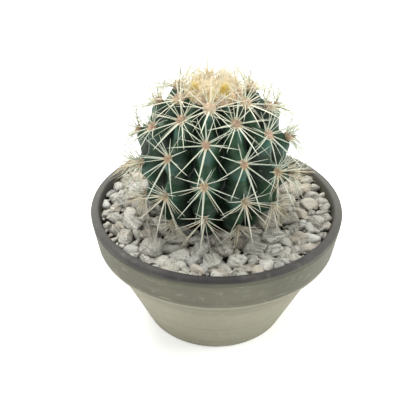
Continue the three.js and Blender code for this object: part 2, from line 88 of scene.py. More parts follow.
# Seeds of the looks, one for each kind of piece
SEEDS = SimpleNamespace(
    stones=5, bed=7, skin=8, needles=9, felt=10, tufts=10, young_felt=11, crown_spines=12, wool=13,
)


# Surfaces
# A surface is its corners, its four-sided faces and its three-sided faces.

def closed_skins(starts, rings, ends):
    """Skins n closed bodies. rings has the shape (n, rings, columns, 3). Each ring is joined to the next by
    quads, the first to its start point and the last to its end point by triangles. Seen from the end, rings
    run anticlockwise."""
    count, rows, columns, _ = rings.shape
    ring = np.arange(rows * columns).reshape(rows, columns) + 1
    beside = np.roll(ring, -1, axis=1)
    last = np.full(columns, rows * columns + 1)
    quads = np.stack([ring[:-1], beside[:-1], beside[1:], ring[1:]], axis=-1).reshape(-1, 4)
    foot = np.stack([0 * last, beside[0], ring[0]], axis=-1)
    top = np.stack([ring[-1], beside[-1], last], axis=-1)
    triangles = np.concatenate([foot, top])
    corners = np.concatenate([starts[:, None], rings.reshape(count, -1, 3), ends[:, None]], axis=1)
    shift = (np.arange(count) * (rows * columns + 2))[:, None, None]
    return corners.reshape(-1, 3), (quads + shift).reshape(-1, 4), (triangles + shift).reshape(-1, 3)


def closed_ring(grid):
    """Skins a grid of points whose rows and columns both close on themselves, as a lathe's do."""
    index = np.arange(grid.shape[0] * grid.shape[1]).reshape(grid.shape[:2])
    beside = np.roll(index, -1, axis=1)
    above = np.roll(index, -1, axis=0)
    quads = np.stack([index, beside, np.roll(above, -1, axis=1), above], axis=-1)
    return grid.reshape(-1, 3), quads.reshape(-1, 4), np.empty((0, 3), int)


def join_surfaces(*surfaces):
    """One surface of several, with the corner numbers of each moved past those before it."""
    shifts = np.cumsum([0] + [len(corners) for corners, _, _ in surfaces[:-1]])
    corners = np.concatenate([surface[0] for surface in surfaces])
    quads = np.concatenate([surface[1] + shift for surface, shift in zip(surfaces, shifts)])
    triangles = np.concatenate([surface[2] + shift for surface, shift in zip(surfaces, shifts)])
    return corners, quads, triangles


def unit(vectors):
    """Vectors cut to length 1."""
    return vectors / np.linalg.norm(vectors, axis=-1, keepdims=True)


def full_turn(count):
    """Even angles all round."""
    return 2 * np.pi * np.arange(count) / count


def round_points(radius, turn, height):
    """Points by their distance from the pot's axis, their turn round it and their height."""
    return np.stack(np.broadcast_arrays(radius * np.cos(turn), radius * np.sin(turn), height), axis=-1)


def sphere_directions(rings, columns):
    """Directions all round: the pole at -X, rings from there on, and the pole at +X."""
    tilt = np.pi * (np.arange(rings) + 1) / (rings + 1)
    tilt, turn = np.meshgrid(tilt, full_turn(columns), indexing="ij")
    around = np.stack([-np.cos(tilt), np.sin(tilt) * np.cos(turn), np.sin(tilt) * np.sin(turn)], axis=-1)
    return np.concatenate([[[-1.0, 0, 0]], around.reshape(-1, 3), [[1.0, 0, 0]]])


def skin_spheres(points, rings, columns):
    """Skins bodies whose corners are in the order of the sphere's directions."""
    grid = points[:, 1:-1].reshape(len(points), rings, columns, 3)
    return closed_skins(points[:, 0], grid, points[:, -1])


def waves(points, random, count, length):
    """Smooth unevenness, mostly from -1 to 1: sine waves of about one length that run in random directions
    through the points, added up and shared out by the root of their number."""
    directions = unit(random.normal(size=(count, 3)))
    rates = 2 * np.pi / (length * random.uniform(0.7, 1.5, count))
    phases = random.uniform(0, 2 * np.pi, count)
    return np.sin(points @ (directions * rates[:, None]).T + phases).sum(-1) / math.sqrt(count) * 0.7


def uneven(points, random, *layers):
    """Waves laid over each other. Each layer is its height, its number of waves and their length."""
    return sum(height * waves(points, random, count, length) for height, count, length in layers)


def smooth_step(values, low, high):
    """0 below low, 1 above high, and a smooth way between them."""
    share = np.clip((values - low) / (high - low), 0, 1)
    return share * share * (3 - 2 * share)


# Meshes and objects

def new_mesh(name, surface, smooth):
    """Mesh in metres of a surface in millimetres."""
    corners, quads, triangles = surface
    mesh = bpy.data.meshes.new(name)
    loops = np.concatenate([quads.ravel(), triangles.ravel()]).astype(np.int32)
    starts = np.concatenate([4 * np.arange(len(quads)), 4 * len(quads) + 3 * np.arange(len(triangles))])
    mesh.vertices.add(len(corners))
    mesh.vertices.foreach_set("co", (corners * MM).astype(np.float32).ravel())
    mesh.loops.add(len(loops))
    mesh.loops.foreach_set("vertex_index", loops)
    mesh.polygons.add(len(starts))
    mesh.polygons.foreach_set("loop_start", starts.astype(np.int32))
    mesh.polygons.foreach_set("use_smooth", np.full(len(starts), smooth))
    mesh.update(calc_edges=True)
    return mesh


def link_object(name, data):
    """Object of a mesh, lamp or camera, put into the scene."""
    made = bpy.data.objects.new(name, data)
    bpy.context.scene.collection.objects.link(made)
    return made


def make_piece(name, surface, finish, replaced, shades=None):
    """Makes a piece of a surface, with the per-corner values, plain or of three parts, that its finish
    reads."""
    mesh = new_mesh(name, surface, True)
    for shade, values in (shades or {}).items():
        kind, field = ("FLOAT", "value") if values.ndim == 1 else ("FLOAT_VECTOR", "vector")
        attribute = mesh.attributes.new(shade, kind, "POINT")
        attribute.data.foreach_set(field, values.astype(np.float32).ravel())
    mesh.materials.append(finish)
    piece = link_object(name, mesh)
    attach(piece, "root")
    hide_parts(*replaced)


# Shader nodes

def srgb(code):
    """Linear colour of a colour code as painters' programs write it."""
    shares = [int(code[i:i + 2], 16) / 255 for i in (0, 2, 4)]
    return (*[s / 12.92 if s <= 0.04045 else ((s + 0.055) / 1.055) ** 2.4 for s in shares], 1.0)


def add_node(tree, kind, inputs=None, **settings):
    """Adds a node. inputs maps its sockets to plain values or to the sockets that feed them."""
    node = tree.nodes.new(kind)
    for setting, value in settings.items():
        setattr(node, setting, value)
    for socket, value in (inputs or {}).items():
        if isinstance(value, bpy.types.NodeSocket):
            tree.links.new(value, node.inputs[socket])
        else:
            node.inputs[socket].default_value = value
    return node


def new_group(name, inputs, output):
    """A shader group at a place, with named inputs and one output: the group, what it is given, its end."""
    group = bpy.data.node_groups.new(name, "ShaderNodeTree")
    group.interface.new_socket("Vector", in_out="INPUT", socket_type="NodeSocketVector")
    for socket, value in inputs.items():
        made = group.interface.new_socket(socket, in_out="INPUT", socket_type="NodeSocketFloat")
        made.default_value = value
    group.interface.new_socket(output, in_out="OUTPUT", socket_type="NodeSocketFloat")
    given = group.nodes.new("NodeGroupInput").outputs
    return group, given, group.nodes.new("NodeGroupOutput").inputs[output]


def add_clouds(group, given, scale, detail):
    clouds = {"Vector": given["Vector"], "Scale": scale, "Detail": detail}
    return add_node(group, "ShaderNodeTexNoise", clouds).outputs["Fac"]


def end_with_mask(group, value, low, high, end):
    """Ends a group with a mask that is 0 where a value is at low and 1 where it is at high."""
    limits = {"Value": value, "From Min": low, "From Max": high}
    cut = add_node(group, "ShaderNodeMapRange", limits, interpolation_type="SMOOTHSTEP")
    group.links.new(cut.outputs["Result"], end)
    return group


def mottle_group():
    """Clouds of one size, cut between two levels into a mask."""
    defaults = {"Scale": 100.0, "Detail": 4.0, "Low": 0.4, "High": 0.6}
    group, given, end = new_group("mottle", defaults, "Mask")
    clouds = add_clouds(group, given, given["Scale"], given["Detail"])
    return end_with_mask(group, clouds, given["Low"], given["High"], end)


def speck_group():
    """Round specks scattered at random: the cells' middles out to a share of their spacing."""
    group, given, end = new_group("speck", {"Scale": 300.0, "Share": 0.3}, "Mask")
    spacing = {"Vector": given["Vector"], "Scale": given["Scale"]}
    cells = add_node(group, "ShaderNodeTexVoronoi", spacing)
    core = add_node(group, "ShaderNodeMath", {0: given["Share"], 1: 0.55}, operation="MULTIPLY")
    return end_with_mask(group, cells.outputs["Distance"], given["Share"], core.outputs["Value"], end)


def grain_group():
    """Height of a rough surface: coarse clouds with finer ones laid over them."""
    group, given, end = new_group("grain", {"Scale": 300.0, "Fine": 0.4}, "Height")
    finer = add_node(group, "ShaderNodeMath", {0: given["Scale"], 1: 4.3}, operation="MULTIPLY")
    coarse = add_clouds(group, given, given["Scale"], 3.0)
    fine = add_clouds(group, given, finer.outputs["Value"], 3.0)
    both = add_node(group, "ShaderNodeMix", {"Factor": given["Fine"], 2: coarse, 3: fine})
    group.links.new(both.outputs[0], end)
    return group


GROUPS = {"mottle": mottle_group(), "speck": speck_group(), "grain": grain_group()}


class Finish:
    """A material in the making: one Principled shader, the nodes that feed it, and its colour so far."""

    def __init__(self, name, **constants):
        self.material = bpy.data.materials.new(name)
        self.material.use_nodes = True
        self.tree = self.material.node_tree
        self.shader = self.tree.nodes["Principled BSDF"]
        for socket, value in constants.items():
            self.shader.inputs[socket.replace("_", " ")].default_value = value
        self.place = self.add("ShaderNodeTexCoord").outputs["Object"]
        self.colour = None

    def add(self, kind, inputs=None, **settings):
        return add_node(self.tree, kind, inputs, **settings)

    def feed(self, name, socket):
        self.tree.links.new(socket, self.shader.inputs[name])

    def effect(self, name, **inputs):
        """Output of a shared group at the piece's own place, or at a given Vector."""
        inputs = {"Vector": self.place, **inputs}
        return self.add("ShaderNodeGroup", inputs, node_tree=GROUPS[name]).outputs[0]

    def mottle(self, scale, low, high, detail=4.0):
        return self.effect("mottle", Scale=scale, Detail=detail, Low=low, High=high)

    def streaks(self, scales, low, high, place=None):
        """Clouds drawn out along the axes. The scales say how fine they are along each."""
        inputs = {"Vector": place or self.place, "Scale": scales}
        drawn = self.add("ShaderNodeMapping", inputs).outputs["Vector"]
        return self.effect("mottle", Vector=drawn, Scale=1.0, Low=low, High=high)

    def value(self, name, output="Fac"):
        """A per-corner value of the piece."""
        return self.add("ShaderNodeAttribute", attribute_name=name).outputs[output]

    def axes(self):
        """Place along each axis, in metres: to the right, away from the front, over the ground."""
        place = self.add("ShaderNodeSeparateXYZ", {0: self.place}).outputs
        return place["X"], place["Y"], place["Z"]

    def ramp(self, value, low, high, floor=0.0, ceiling=1.0):
        """A smooth way from floor at low to ceiling at high."""
        inputs = {"Value": value, "From Min": low, "From Max": high, "To Min": floor, "To Max": ceiling}
        return self.add("ShaderNodeMapRange", inputs, interpolation_type="SMOOTHSTEP").outputs["Result"]

    def between(self, value, begin, full, fade, end):
        """A band that begins, is full, fades and ends along a value."""
        return self.times(self.ramp(value, begin, full), self.ramp(value, fade, end, 1.0, 0.0))

    def times(self, first, second):
        return self.add("ShaderNodeMath", {0: first, 1: second}, operation="MULTIPLY").outputs["Value"]

    def plus(self, first, second):
        return self.add("ShaderNodeMath", {0: first, 1: second}, operation="ADD").outputs["Value"]

    def mix(self, mask, low, high):
        """Colour low where the mask is 0 and high where it is 1. A colour may be given by its code."""
        low, high = [srgb(colour) if isinstance(colour, str) else colour for colour in (low, high)]
        return self.add("ShaderNodeMix", {0: mask, 6: low, 7: high}, data_type="RGBA").outputs[2]

    def along(self, value, colour, *steps):
        """Colours that follow each other along a value. Each step is where it begins, where it is full, and
        its colour."""
        for begin, full, following in steps:
            colour = self.mix(self.ramp(value, begin, full), colour, following)
        return colour

    def lay(self, colour, mask, strength=None):
        """Lays a colour over the one so far where the mask is 1, thinner for a strength below 1."""
        if strength is not None:
            mask = self.times(mask, strength)
        self.colour = self.mix(mask, self.colour, colour)

    def roughen(self, value, smooth, rough):
        """Roughness that grows with a value from 0 to 1."""
        self.feed("Roughness", self.ramp(value, 0.0, 1.0, smooth, rough))

    def done(self, grain, depth, strength=1.0, fine=0.5, relief=()):
        """The material with its colour and with relief by shading: grain, and other values by their shares.
        The depth, in metres, is that between height 0 and 1."""
        self.feed("Base Color", self.colour)
        height = self.effect("grain", Scale=grain, Fine=fine)
        for value, share in relief:
            height = self.plus(height, self.times(value, share))
        bump = self.add("ShaderNodeBump", {"Height": height, "Distance": depth, "Strength": strength})
        self.feed("Normal", bump.outputs["Normal"])
        return self.material


# Finishes
# Scales are per metre, and heights in metres. The band's foot is at 0.052, the lip's edge at 0.070.

def clay_finish():
    """Fired grey clay: a dark smooth lip over an olive band, a paler wall with faint blotches, and fine
    scratches drawn round the pot. The lip grows paler towards the back. Painted shade darkens the wall just
    under the band, lies as a dark line under the lip and carries the dark lip lower on the left side. A
    painted highlight lies as a pale line on the foot of the band."""
    clay = Finish("fired_clay", Specular_IOR_Level=0.3)
    across, depth, height = clay.axes()
    edge = clay.plus(height, clay.times(clay.mottle(90.0, 0.2, 0.8), 0.0005))
    # Painted shade: on the left side the dark lip reaches lower down the band.
    lip_edge = clay.plus(edge, clay.ramp(across, -0.06, 0.01, 0.0018, 0.0))
    clouds = clay.mottle(26.0, 0.3, 0.7)
    band = clay.mix(clouds, "525144", "646355")
    lip = clay.mix(clay.mottle(110.0, 0.3, 0.75), "2c2a2a", "423f3d")
    # The lip grows paler from the front towards the back.
    lip = clay.mix(clay.ramp(depth, -0.070, 0.0), lip, "55544f")
    clay.colour = clay.mix(clouds, "7d7967", "898775")
    # Painted shade: the wall darkens upwards towards the band's foot, under its overhang.
    clay.lay("5e5c52", clay.ramp(height, 0.036, 0.052, 0.0, 0.5))
    clay.lay(band, clay.ramp(edge, 0.0518, 0.0524))
    clay.lay(lip, clay.ramp(lip_edge, 0.0697, 0.0718))
    # Painted highlight: a pale line along the foot of the band.
    clay.lay("a3a08d", clay.between(height, 0.0521, 0.0525, 0.0532, 0.0544), 0.48)
    # Painted shade: a dark line under the lip.
    clay.lay("35332e", clay.between(height, 0.0680, 0.0688, 0.0694, 0.0702), 0.2)
    lines = clay.streaks((9.0, 9.0, 700.0), 0.5, 0.8)
    clay.lay("45433b", lines, 0.34)
    scratches = clay.streaks((60.0, 60.0, 2200.0), 0.61, 0.72)
    sparse = clay.times(clay.mottle(40.0, 0.42, 0.6, 2.0), clay.ramp(height, 0.0685, 0.0700, 1.0, 0.0))
    clay.lay("a9a58c", clay.times(scratches, sparse), 0.5)
    pits = clay.effect("speck", Scale=330.0, Share=0.11)
    clay.lay("2c2a27", pits, 0.5)
    dust = clay.mottle(240.0, 0.55, 0.8, 6.0)
    clay.lay("a5a291", clay.times(dust, clay.ramp(height, 0.0665, 0.0700, 0.24, 0.08)))
    clay.roughen(clouds, 0.62, 0.8)
    return clay.done(700.0, 0.00012, 0.8, 0.4, [(lines, 0.8), (pits, -0.8)])


def earth_finish(name, clumps, tones, crumbs, pale, grain, depth):
    """Dark loose earth of two tones with pale crumbs."""
    earth = Finish(name, Roughness=0.95, Specular_IOR_Level=0.2)
    earth.colour = earth.mix(earth.mottle(*clumps), *tones)
    earth.lay(pale, earth.effect("speck", Scale=crumbs[0], Share=crumbs[1]))
    return earth.done(grain, depth)


def pumice_finish():
    """Pale pumice, each stone of its own tint, with fibres along its length, pores, dark mottled spots and
    painted shade that darkens its foot in the gaps. The grain is the place in the stone's own directions, for
    the fibres."""
    stone = Finish("pumice", Roughness=0.92, Specular_IOR_Level=0.2)
    warmth = stone.value("warmth")
    stone.colour = stone.along(stone.value("tint"), "a19f96", (0.0, 0.5, "b4b2a8"), (0.5, 1.0, "c9c7bd"))
    stone.lay("ab9880", stone.ramp(warmth, 0.6, 1.0, 0.0, 0.45))
    stone.lay("939a9e", stone.ramp(warmth, 0.0, 0.2, 0.4, 0.0))
    stone.lay("cbc8c0", stone.mottle(260.0, 0.32, 0.68), 0.3)
    fibres = stone.streaks((60.0, 800.0, 800.0), 0.45, 0.62, stone.value("grain", "Vector"))
    fibrous = stone.times(fibres, stone.ramp(stone.value("fibrous"), 0.3, 0.7))
    stone.lay("70695d", fibrous, 0.46)
    stone.lay("5a5449", stone.mottle(420.0, 0.56, 0.7, 6.0), 0.5)
    pores = stone.effect("speck", Scale=900.0, Share=0.3)
    stone.lay("5d574e", pores, 0.3)
    # Painted shade: each stone turns near black towards its foot, in the gaps between the stones.
    stone.lay("1f1c18", stone.ramp(stone.value("foot"), 0.0, 1.0), 0.92)
    return stone.done(520.0, 0.0007, relief=[(pores, -0.6), (fibrous, -0.9)])


def skin_finish():
    """Waxy dark green skin: a bluish wax on the swelling under each areole that is partly a painted sheen,
    painted shade near black in the furrows, with pale dots, faint scars and a corky foot."""
    skin = Finish("cactus_skin", Coat_Weight=0.1, Coat_Roughness=0.22, Specular_IOR_Level=0.25)
    clouds = skin.mottle(55.0, 0.35, 0.65)
    skin.colour = skin.mix(clouds, "122417", "1e3e25")
    skin.lay("2b5535", skin.streaks((420.0, 420.0, 60.0), 0.4, 0.7), 0.25)
    # Partly the wax's own bluish coat, partly a painted sheen on the swellings under the areoles.
    bloom_and_sheen = skin.times(skin.value("chin"), skin.mottle(150.0, 0.3, 0.65, 5.0))
    skin.lay("49706a", bloom_and_sheen, 0.75)
    # Painted shade: the furrows darken to near black.
    skin.lay("0a150d", skin.ramp(skin.value("furrow"), 0.25, 0.85), 0.88)
    dots = skin.effect("speck", Scale=1500.0, Share=0.22)
    skin.lay("6f8c7a", dots, 0.14)
    skin.lay("7d7860", skin.mottle(240.0, 0.70, 0.74, 2.0), 0.45)
    _, _, height = skin.axes()
    foot = skin.plus(height, skin.times(clouds, 0.004))
    skin.lay("3d3a2b", skin.ramp(foot, 0.068, 0.077, 1.0, 0.0), 0.5)
    skin.roughen(bloom_and_sheen, 0.38, 0.52)
    return skin.done(260.0, 0.0004, 0.7, 0.3, [(dots, 0.25)])


def horn_finish():
    """Spines: yellow at the growing point, then cream, then weathered straw. Only the root is warmer, and the
    tip darker."""
    horn = Finish("spine_horn", Specular_IOR_Level=0.4)
    age = horn.value("age")
    along = horn.value("along")
    weathered = [(0.17, 0.26, "c7cab4"), (0.3, 0.5, "b9c0af"), (0.6, 0.8, "c6c3b2"), (0.87, 0.93, "c9bda1")]
    shaft = horn.along(age, "e0c65c", (0.0, 0.12, "eae3cd"), *weathered)
    horn.colour = horn.along(age, "dabd4a", (0.0, 0.12, "cfb890"), (0.55, 1.0, "9f8f75"))
    horn.lay(shaft, horn.ramp(along, 0.0, 0.12))
    horn.lay("a8946f", horn.ramp(along, 0.9, 1.0, 0.0, 0.3))
    streaks = horn.mottle(700.0, 0.4, 0.7)
    horn.lay("b9ae92", streaks, 0.12)
    horn.roughen(streaks, 0.4, 0.58)
    return horn.done(1500.0, 0.00008, fine=0.4)


def end_fuzz(fuzz, locks, dark, shade, pale, grain, depth):
    """Ends a finish of fibres: darker between its locks, and paler towards the fibres' ends."""
    fuzz.lay(dark, fuzz.mottle(locks, 0.3, 0.7), shade)
    fuzz.lay(pale, fuzz.ramp(fuzz.value("along"), 0.0, 1.0, 0.0, 0.55))
    return fuzz.done(grain, depth)


def felt_finish():
    """Felt of the areoles: cream when young, then pinkish tan, then pale grey."""
    felt = Finish("areole_felt", Roughness=1.0, Specular_IOR_Level=0.1, Sheen_Weight=0.2)
    old = [(0.15, 0.4, "bfa08c"), (0.42, 0.62, "b39a7d"), (0.62, 0.82, "a89e88")]
    felt.colour = felt.along(felt.value("age"), "d6c3a6", *old)
    return end_fuzz(felt, 900.0, "8a7058", 0.3, "e0d3bb", 1300.0, 0.0004)


def wool_finish():
    """Wool of the growing point: straw with pinkish patches, cream on top."""
    wool = Finish("crown_wool", Roughness=1.0, Specular_IOR_Level=0.1, Sheen_Weight=0.25)
    _, _, height = wool.axes()
    wool.colour = wool.mix(wool.mottle(150.0, 0.4, 0.6), "dccb94", "dfc2ae")
    wool.lay("efe4bc", wool.ramp(height, 0.1385, 0.1425, 0.0, 0.5))
    return end_fuzz(wool, 620.0, "a8935f", 0.35, "f0e7c6", 800.0, 0.0006)


FINISHES = SimpleNamespace(
    clay=clay_finish(),
    soil=earth_finish("potting_soil", (420.0, 0.35, 0.65), ("2a221b", "4a3d31"), (260.0, 0.14), "8d8574",
                      380.0, 0.0009),
    # The bed's earth is near black: painted shade in the gaps between the stones.
    shaded_grit=earth_finish("shaded_grit", (330.0, 0.3, 0.7), ("181512", "2b2620"), (520.0, 0.2), "57514a",
                      600.0, 0.0007),
    pumice=pumice_finish(), skin=skin_finish(), horn=horn_finish(), felt=felt_finish(), wool=wool_finish(),
)


# Pot

def arc(centre, radius, first, last, steps):
    """Points of an arc in the profile's plane, from one angle to another in degrees."""
    angles = np.radians(np.linspace(first, last, steps))
    return np.stack([centre[0] + radius * np.cos(angles), centre[1] + radius * np.sin(angles)], axis=-1)


def straight(start, end, steps):
    """Points of a straight line without its ends."""
    share = np.linspace(0, 1, steps + 2)[1:-1, None]
    return np.array(start) * (1 - share) + np.array(end) * share


def pot_inner_radius(z):
    """Radius of the pot's inside: a cone up to the ledge behind the band, and a steeper one above it."""
    slope = (POT.wall_top_radius - POT.base_radius) / POT.band_foot
    below = POT.base_radius + slope * z - POT.wall
    share = (z - POT.inner_ledge) / (POT.height - POT.inner_ledge)
    above = POT.inner_ledge_radius + share * (POT.rim_inner_radius - POT.inner_ledge_radius)
    return np.where(z > POT.inner_ledge, above, below)


def pot_profile():
    """Closed profile of the pot as radius and height: out over the foot, up the wall, round the foot of the
    band, up the band to the groove under the lip, over the rolled lip, and down inside to the drain hole."""
    foot = arc((POT.base_radius - 1.6, 1.4), 1.4, -90, -15, 6)
    cove = arc((POT.wall_top_radius + 1.2, POT.band_foot - 1.35), 1.2, 180, 95, 6)
    band_foot = arc((POT.band_foot_radius - 0.9, POT.band_foot + 0.75), 0.9, -90, -8, 6)
    groove = arc((POT.rim_radius + 0.55, 69.0), 0.9, 212, 148, 7)
    lip_out = arc((POT.rim_radius - 1.7, 70.9), 1.7, -42, 90, 14)
    lip_in = arc((POT.rim_inner_radius + 1.4, POT.height - 1.5), 1.5, 90, 180, 7)
    ledge = POT.inner_ledge
    inner_ledge = [[pot_inner_radius(ledge + 3), ledge + 3], [pot_inner_radius(ledge), ledge]]
    floor = [[pot_inner_radius(POT.floor), POT.floor], [POT.drain_radius + 0.6, POT.floor]]
    hole = [[POT.drain_radius, POT.floor - 0.6], [POT.drain_radius, 0.6], [POT.drain_radius + 0.6, 0.0]]
    outside = [
        foot, straight(foot[-1], cove[0], 30), cove, band_foot, straight(band_foot[-1], groove[0], 14),
        groove, lip_out,
    ]
    inside = [
        lip_in, straight(lip_in[-1], inner_ledge[0], 8), inner_ledge, straight(inner_ledge[-1], floor[0], 8),
        floor, hole, straight(hole[-1], foot[0], 6),
    ]
    return np.concatenate(outside + inside)


def build_pot():
    """The profile turned round the axis, thrown a little unevenly: each height is drawn in by up to a
    quarter of a millimetre in slow waves round the pot."""
    profile = pot_profile()
    turn = full_turn(POT.segments)
    radius, height = profile[:, :1], profile[:, 1:]
    drawn_in = 0.12 * (1 + np.sin(2 * turn + 0.04 * height)) * smooth_step(height, 0.5, 20)
    grid = round_points(radius - drawn_in, turn, height)
    make_piece("clay_pot", closed_ring(grid), FINISHES.clay, ["pot"])


# Cactus body
# Distances are in millimetres from the middle of an areole.

SKIN = SimpleNamespace(
    seat_depth=0.7, seat_height=2.2, seat_width=2.4, crease_depth=0.7, crease_over=4.4, crease_width=1.5,
    chin_under=4.5, chin_height=5.0, chin_width=0.7, layers=((0.32, 14, 24), (0.12, 14, 6)),
)


def row_shift(rib):
    """Row at which a rib's areoles start, growing by whole rows all round. Ribs may be counted in parts."""
    return AREOLES.rib_shift * rib + AREOLES.shift_play * np.sin(2 * np.pi * rib / BODY.ribs)


def row_at(latitude):
    """Row of areoles at a latitude, counted down from the first: the inverse of a parabola."""
    pitch, growth = AREOLES.row_pitch, AREOLES.pitch_growth
    below = AREOLES.first_latitude - latitude
    return (np.sqrt(pitch * pitch + 4 * growth * below) - pitch) / (2 * growth)


def latitude_of_row(row):
    return AREOLES.first_latitude - AREOLES.row_pitch * row - AREOLES.pitch_growth * row * row


def weave_at(latitude, turns):
    """How far the skin swings aside at a place, in ribs. A rib is wide at its areoles and narrow between
    them, so the furrows weave: a cosine down the rows, none on the crests. Turns are counted in ribs."""
    girth = np.maximum(np.cos(np.radians(latitude)), 0)
    phase = row_at(latitude) - row_shift(turns - 0.5) - BODY.tubercle_drop
    return BODY.weave * girth * np.sin(np.pi * turns) ** 2 * np.cos(2 * np.pi * phase)


def rib_line_azimuth(latitude, straight_turns):
    """Azimuth of a line along the ribs, which is at its straight place, counted in ribs, but for the weave.
    Four steps of the fixed point are enough."""
    turns = straight_turns
    for _ in range(4):
        turns = straight_turns + weave_at(latitude, turns)
    return BODY.first_rib + turns * 360 / BODY.ribs


def rib_places(latitude, azimuth):
    """Nearest rib of each place, and the way across it: 0 on the crest, -1 and 1 in the furrows."""
    turns = (azimuth - BODY.first_rib) / 360 * BODY.ribs
    straight_turns = turns - weave_at(latitude, turns)
    rib = np.round(straight_turns)
    return rib, 2 * (straight_turns - rib)


def crest_scale(latitude):
    """Line of the crests as a share of an ellipsoid, with full shoulders and a flat top: two polynomials in
    the sine of the latitude above the middle."""
    rise = np.maximum(np.sin(np.radians(latitude)), 0)
    return 1 + 4 * BODY.shoulder * rise ** 2 * (1 - rise ** 2) - BODY.flat_top * rise ** 6


def body_scale(latitude, azimuth):
    """Size of the body as a share of that ellipsoid: furrows cut in by a hyperbola that is round on the crest
    and sharp in the furrow, a swelling under each areole and a notch between two of them."""
    rib, across = rib_places(latitude, azimuth)
    girth = np.maximum(np.cos(np.radians(latitude)), 0)
    rounding = BODY.crest_round
    furrow = (np.hypot(across, rounding) - rounding) / (math.hypot(1, rounding) - rounding)
    phase = row_at(latitude) - row_shift(rib) - BODY.tubercle_drop
    swell = 0.5 + 0.5 * np.cos(2 * np.pi * phase)
    rise = (BODY.tubercle + BODY.notch) * swell - BODY.notch
    relief = rise * np.sqrt(girth) * (1 - across ** 2) ** 2 - BODY.furrow_depth * girth ** 0.85 * furrow
    return crest_scale(latitude) + relief / BODY.radius


def body_point(latitude, azimuth, lift=0.0):
    """Point of the skin, lifted off it by some millimetres."""
    scale = body_scale(latitude, azimuth) + lift / BODY.radius
    level, turn = np.radians(latitude), np.radians(azimuth)
    across = scale * BODY.radius * np.cos(level)
    return np.stack([
        BODY.x + across * np.sin(turn),
        -across * np.cos(turn),
        BODY.z + scale * BODY.half_height * np.sin(level),
    ], axis=-1)


def growing_point(lift):
    return body_point(np.array([90.0]), np.array([0.0]), lift)


def body_places(points):
    """Latitude, azimuth and height over the crests of points."""
    across = np.hypot(points[..., 0] - BODY.x, points[..., 1]) / BODY.radius
    up = (points[..., 2] - BODY.z) / BODY.half_height
    latitude = np.degrees(np.arctan2(up, across))
    azimuth = np.degrees(np.arctan2(points[..., 0] - BODY.x, -points[..., 1]))
    return latitude, azimuth, (np.hypot(across, up) - crest_scale(latitude)) * BODY.radius


def clear_of_body(points, gap):
    """Moves points that lie in the body, or nearer to it than the gap, straight out from its middle."""
    latitude, azimuth, over = body_places(points)
    share = over / BODY.radius + crest_scale(latitude)
    least = body_scale(latitude, azimuth) + gap / BODY.radius
    middle = np.array([BODY.x, 0, BODY.z])
    return middle + (points - middle) * np.maximum(least / share, 1)[..., None]


def clear_of_pot(points, gap):
    """Moves points that lie in the pot's wall, or nearer to it than the gap, straight in."""
    reach = np.hypot(points[..., 0], points[..., 1])
    share = np.minimum((pot_inner_radius(points[..., 2]) - gap) / np.maximum(reach, 1), 1)
    return points * np.stack([share, share, np.ones_like(share)], axis=-1)


def build_body():
    """The ribbed ellipsoid on a fine grid whose columns follow the ribs, closed by a collar and a stub of
    root below and the growing point above. An areole has a bell-shaped dent as its seat and a bell-shaped
    groove over it. Slow waves make the whole uneven."""
    random = np.random.default_rng(SEEDS.skin)
    columns = BODY.columns_per_rib * BODY.ribs
    latitudes = np.linspace(BODY.lowest_latitude, 89.0, BODY.rows)
    straight_turns = np.arange(columns) / BODY.columns_per_rib - 0.5
    latitude, straight_turns = np.meshgrid(latitudes, straight_turns, indexing="ij")
    azimuth = rib_line_azimuth(latitude, straight_turns)
    rib, across = rib_places(latitude, azimuth)
    row = row_at(latitude) - row_shift(rib)
    over = (row - np.round(row)) * math.radians(AREOLES.row_pitch) * BODY.half_height
    girth = np.cos(np.radians(latitude))
    beside = across * girth * math.pi * BODY.radius / BODY.ribs
    seat = -SKIN.seat_depth * np.exp(-(over / SKIN.seat_height) ** 2 - (beside / SKIN.seat_width) ** 2)
    crease = -SKIN.crease_depth * np.exp(-((over + SKIN.crease_over) / SKIN.crease_width) ** 2)
    crease = crease * np.clip(1 - across ** 2, 0, 1)
    slow = uneven(body_point(latitude, azimuth), random, *SKIN.layers)
    points = body_point(latitude, azimuth, (seat + crease) * smooth_step(girth, 0.1, 0.5) + slow)
    outward = points[0] - np.array([BODY.x, 0, 0])
    outward = unit(outward * np.array([1, 1, 0]))
    neck = outward * BODY.root_radius + np.array([BODY.x, 0, BODY.root_top])
    foot = outward * (BODY.root_radius - 1) + np.array([BODY.x, 0, BODY.root_foot])
    rings = np.concatenate([foot[None], neck[None], points])
    start = np.array([[BODY.x, 0, BODY.root_foot]])
    surface = closed_skins(start, rings[None], growing_point(-0.6))
    chin = np.exp(-((over - SKIN.chin_under) / SKIN.chin_height) ** 2)
    chin = chin * np.clip(1 - np.abs(across) / SKIN.chin_width, 0, 1)
    shades = {}
    for name, values in (("furrow", np.abs(across)), ("chin", chin)):
        shades[name] = np.concatenate([np.zeros(1 + 2 * columns), values.ravel(), [0]])
    make_piece("cactus_skin", surface, FINISHES.skin, ["cactus_body"], shades)


# Gravel
# A stone is a row of its middle, half length, flatness, slimness and turn.

# The foot, which carries painted shade, fades between two heights given in shares of a stone's half height.
STONE = SimpleNamespace(
    axis_play=0.3, axis_reach=(0.68, 0.95), plane_reach=(0.72, 1.1), reach_limit=1.2, lean=0.25, tilt=0.3,
    layers=((0.035, 10, 0.8), (0.016, 12, 0.25)), foot=(-0.3, 0.4),
)
# Sizes are in millimetres, sinking and rising in shares of a stone's size.
FILL = SimpleNamespace(
    inner_reach=24.0, outer_reach=63.5, sink=0.25, rise=0.2, flatness=(0.5, 0.75), slimness=(0.6, 0.9),
    turn=(0, 3.14), into_ribs=0.8, crowding=0.82,
)
HEAP = SimpleNamespace(height=1.9, inner_reach=51.0, outer_reach=60.0)
BED = SimpleNamespace(columns=180, steps=30, inner_reach=22.0, shaded_grit=(0.45, 16, 3.4), sink=1.1)


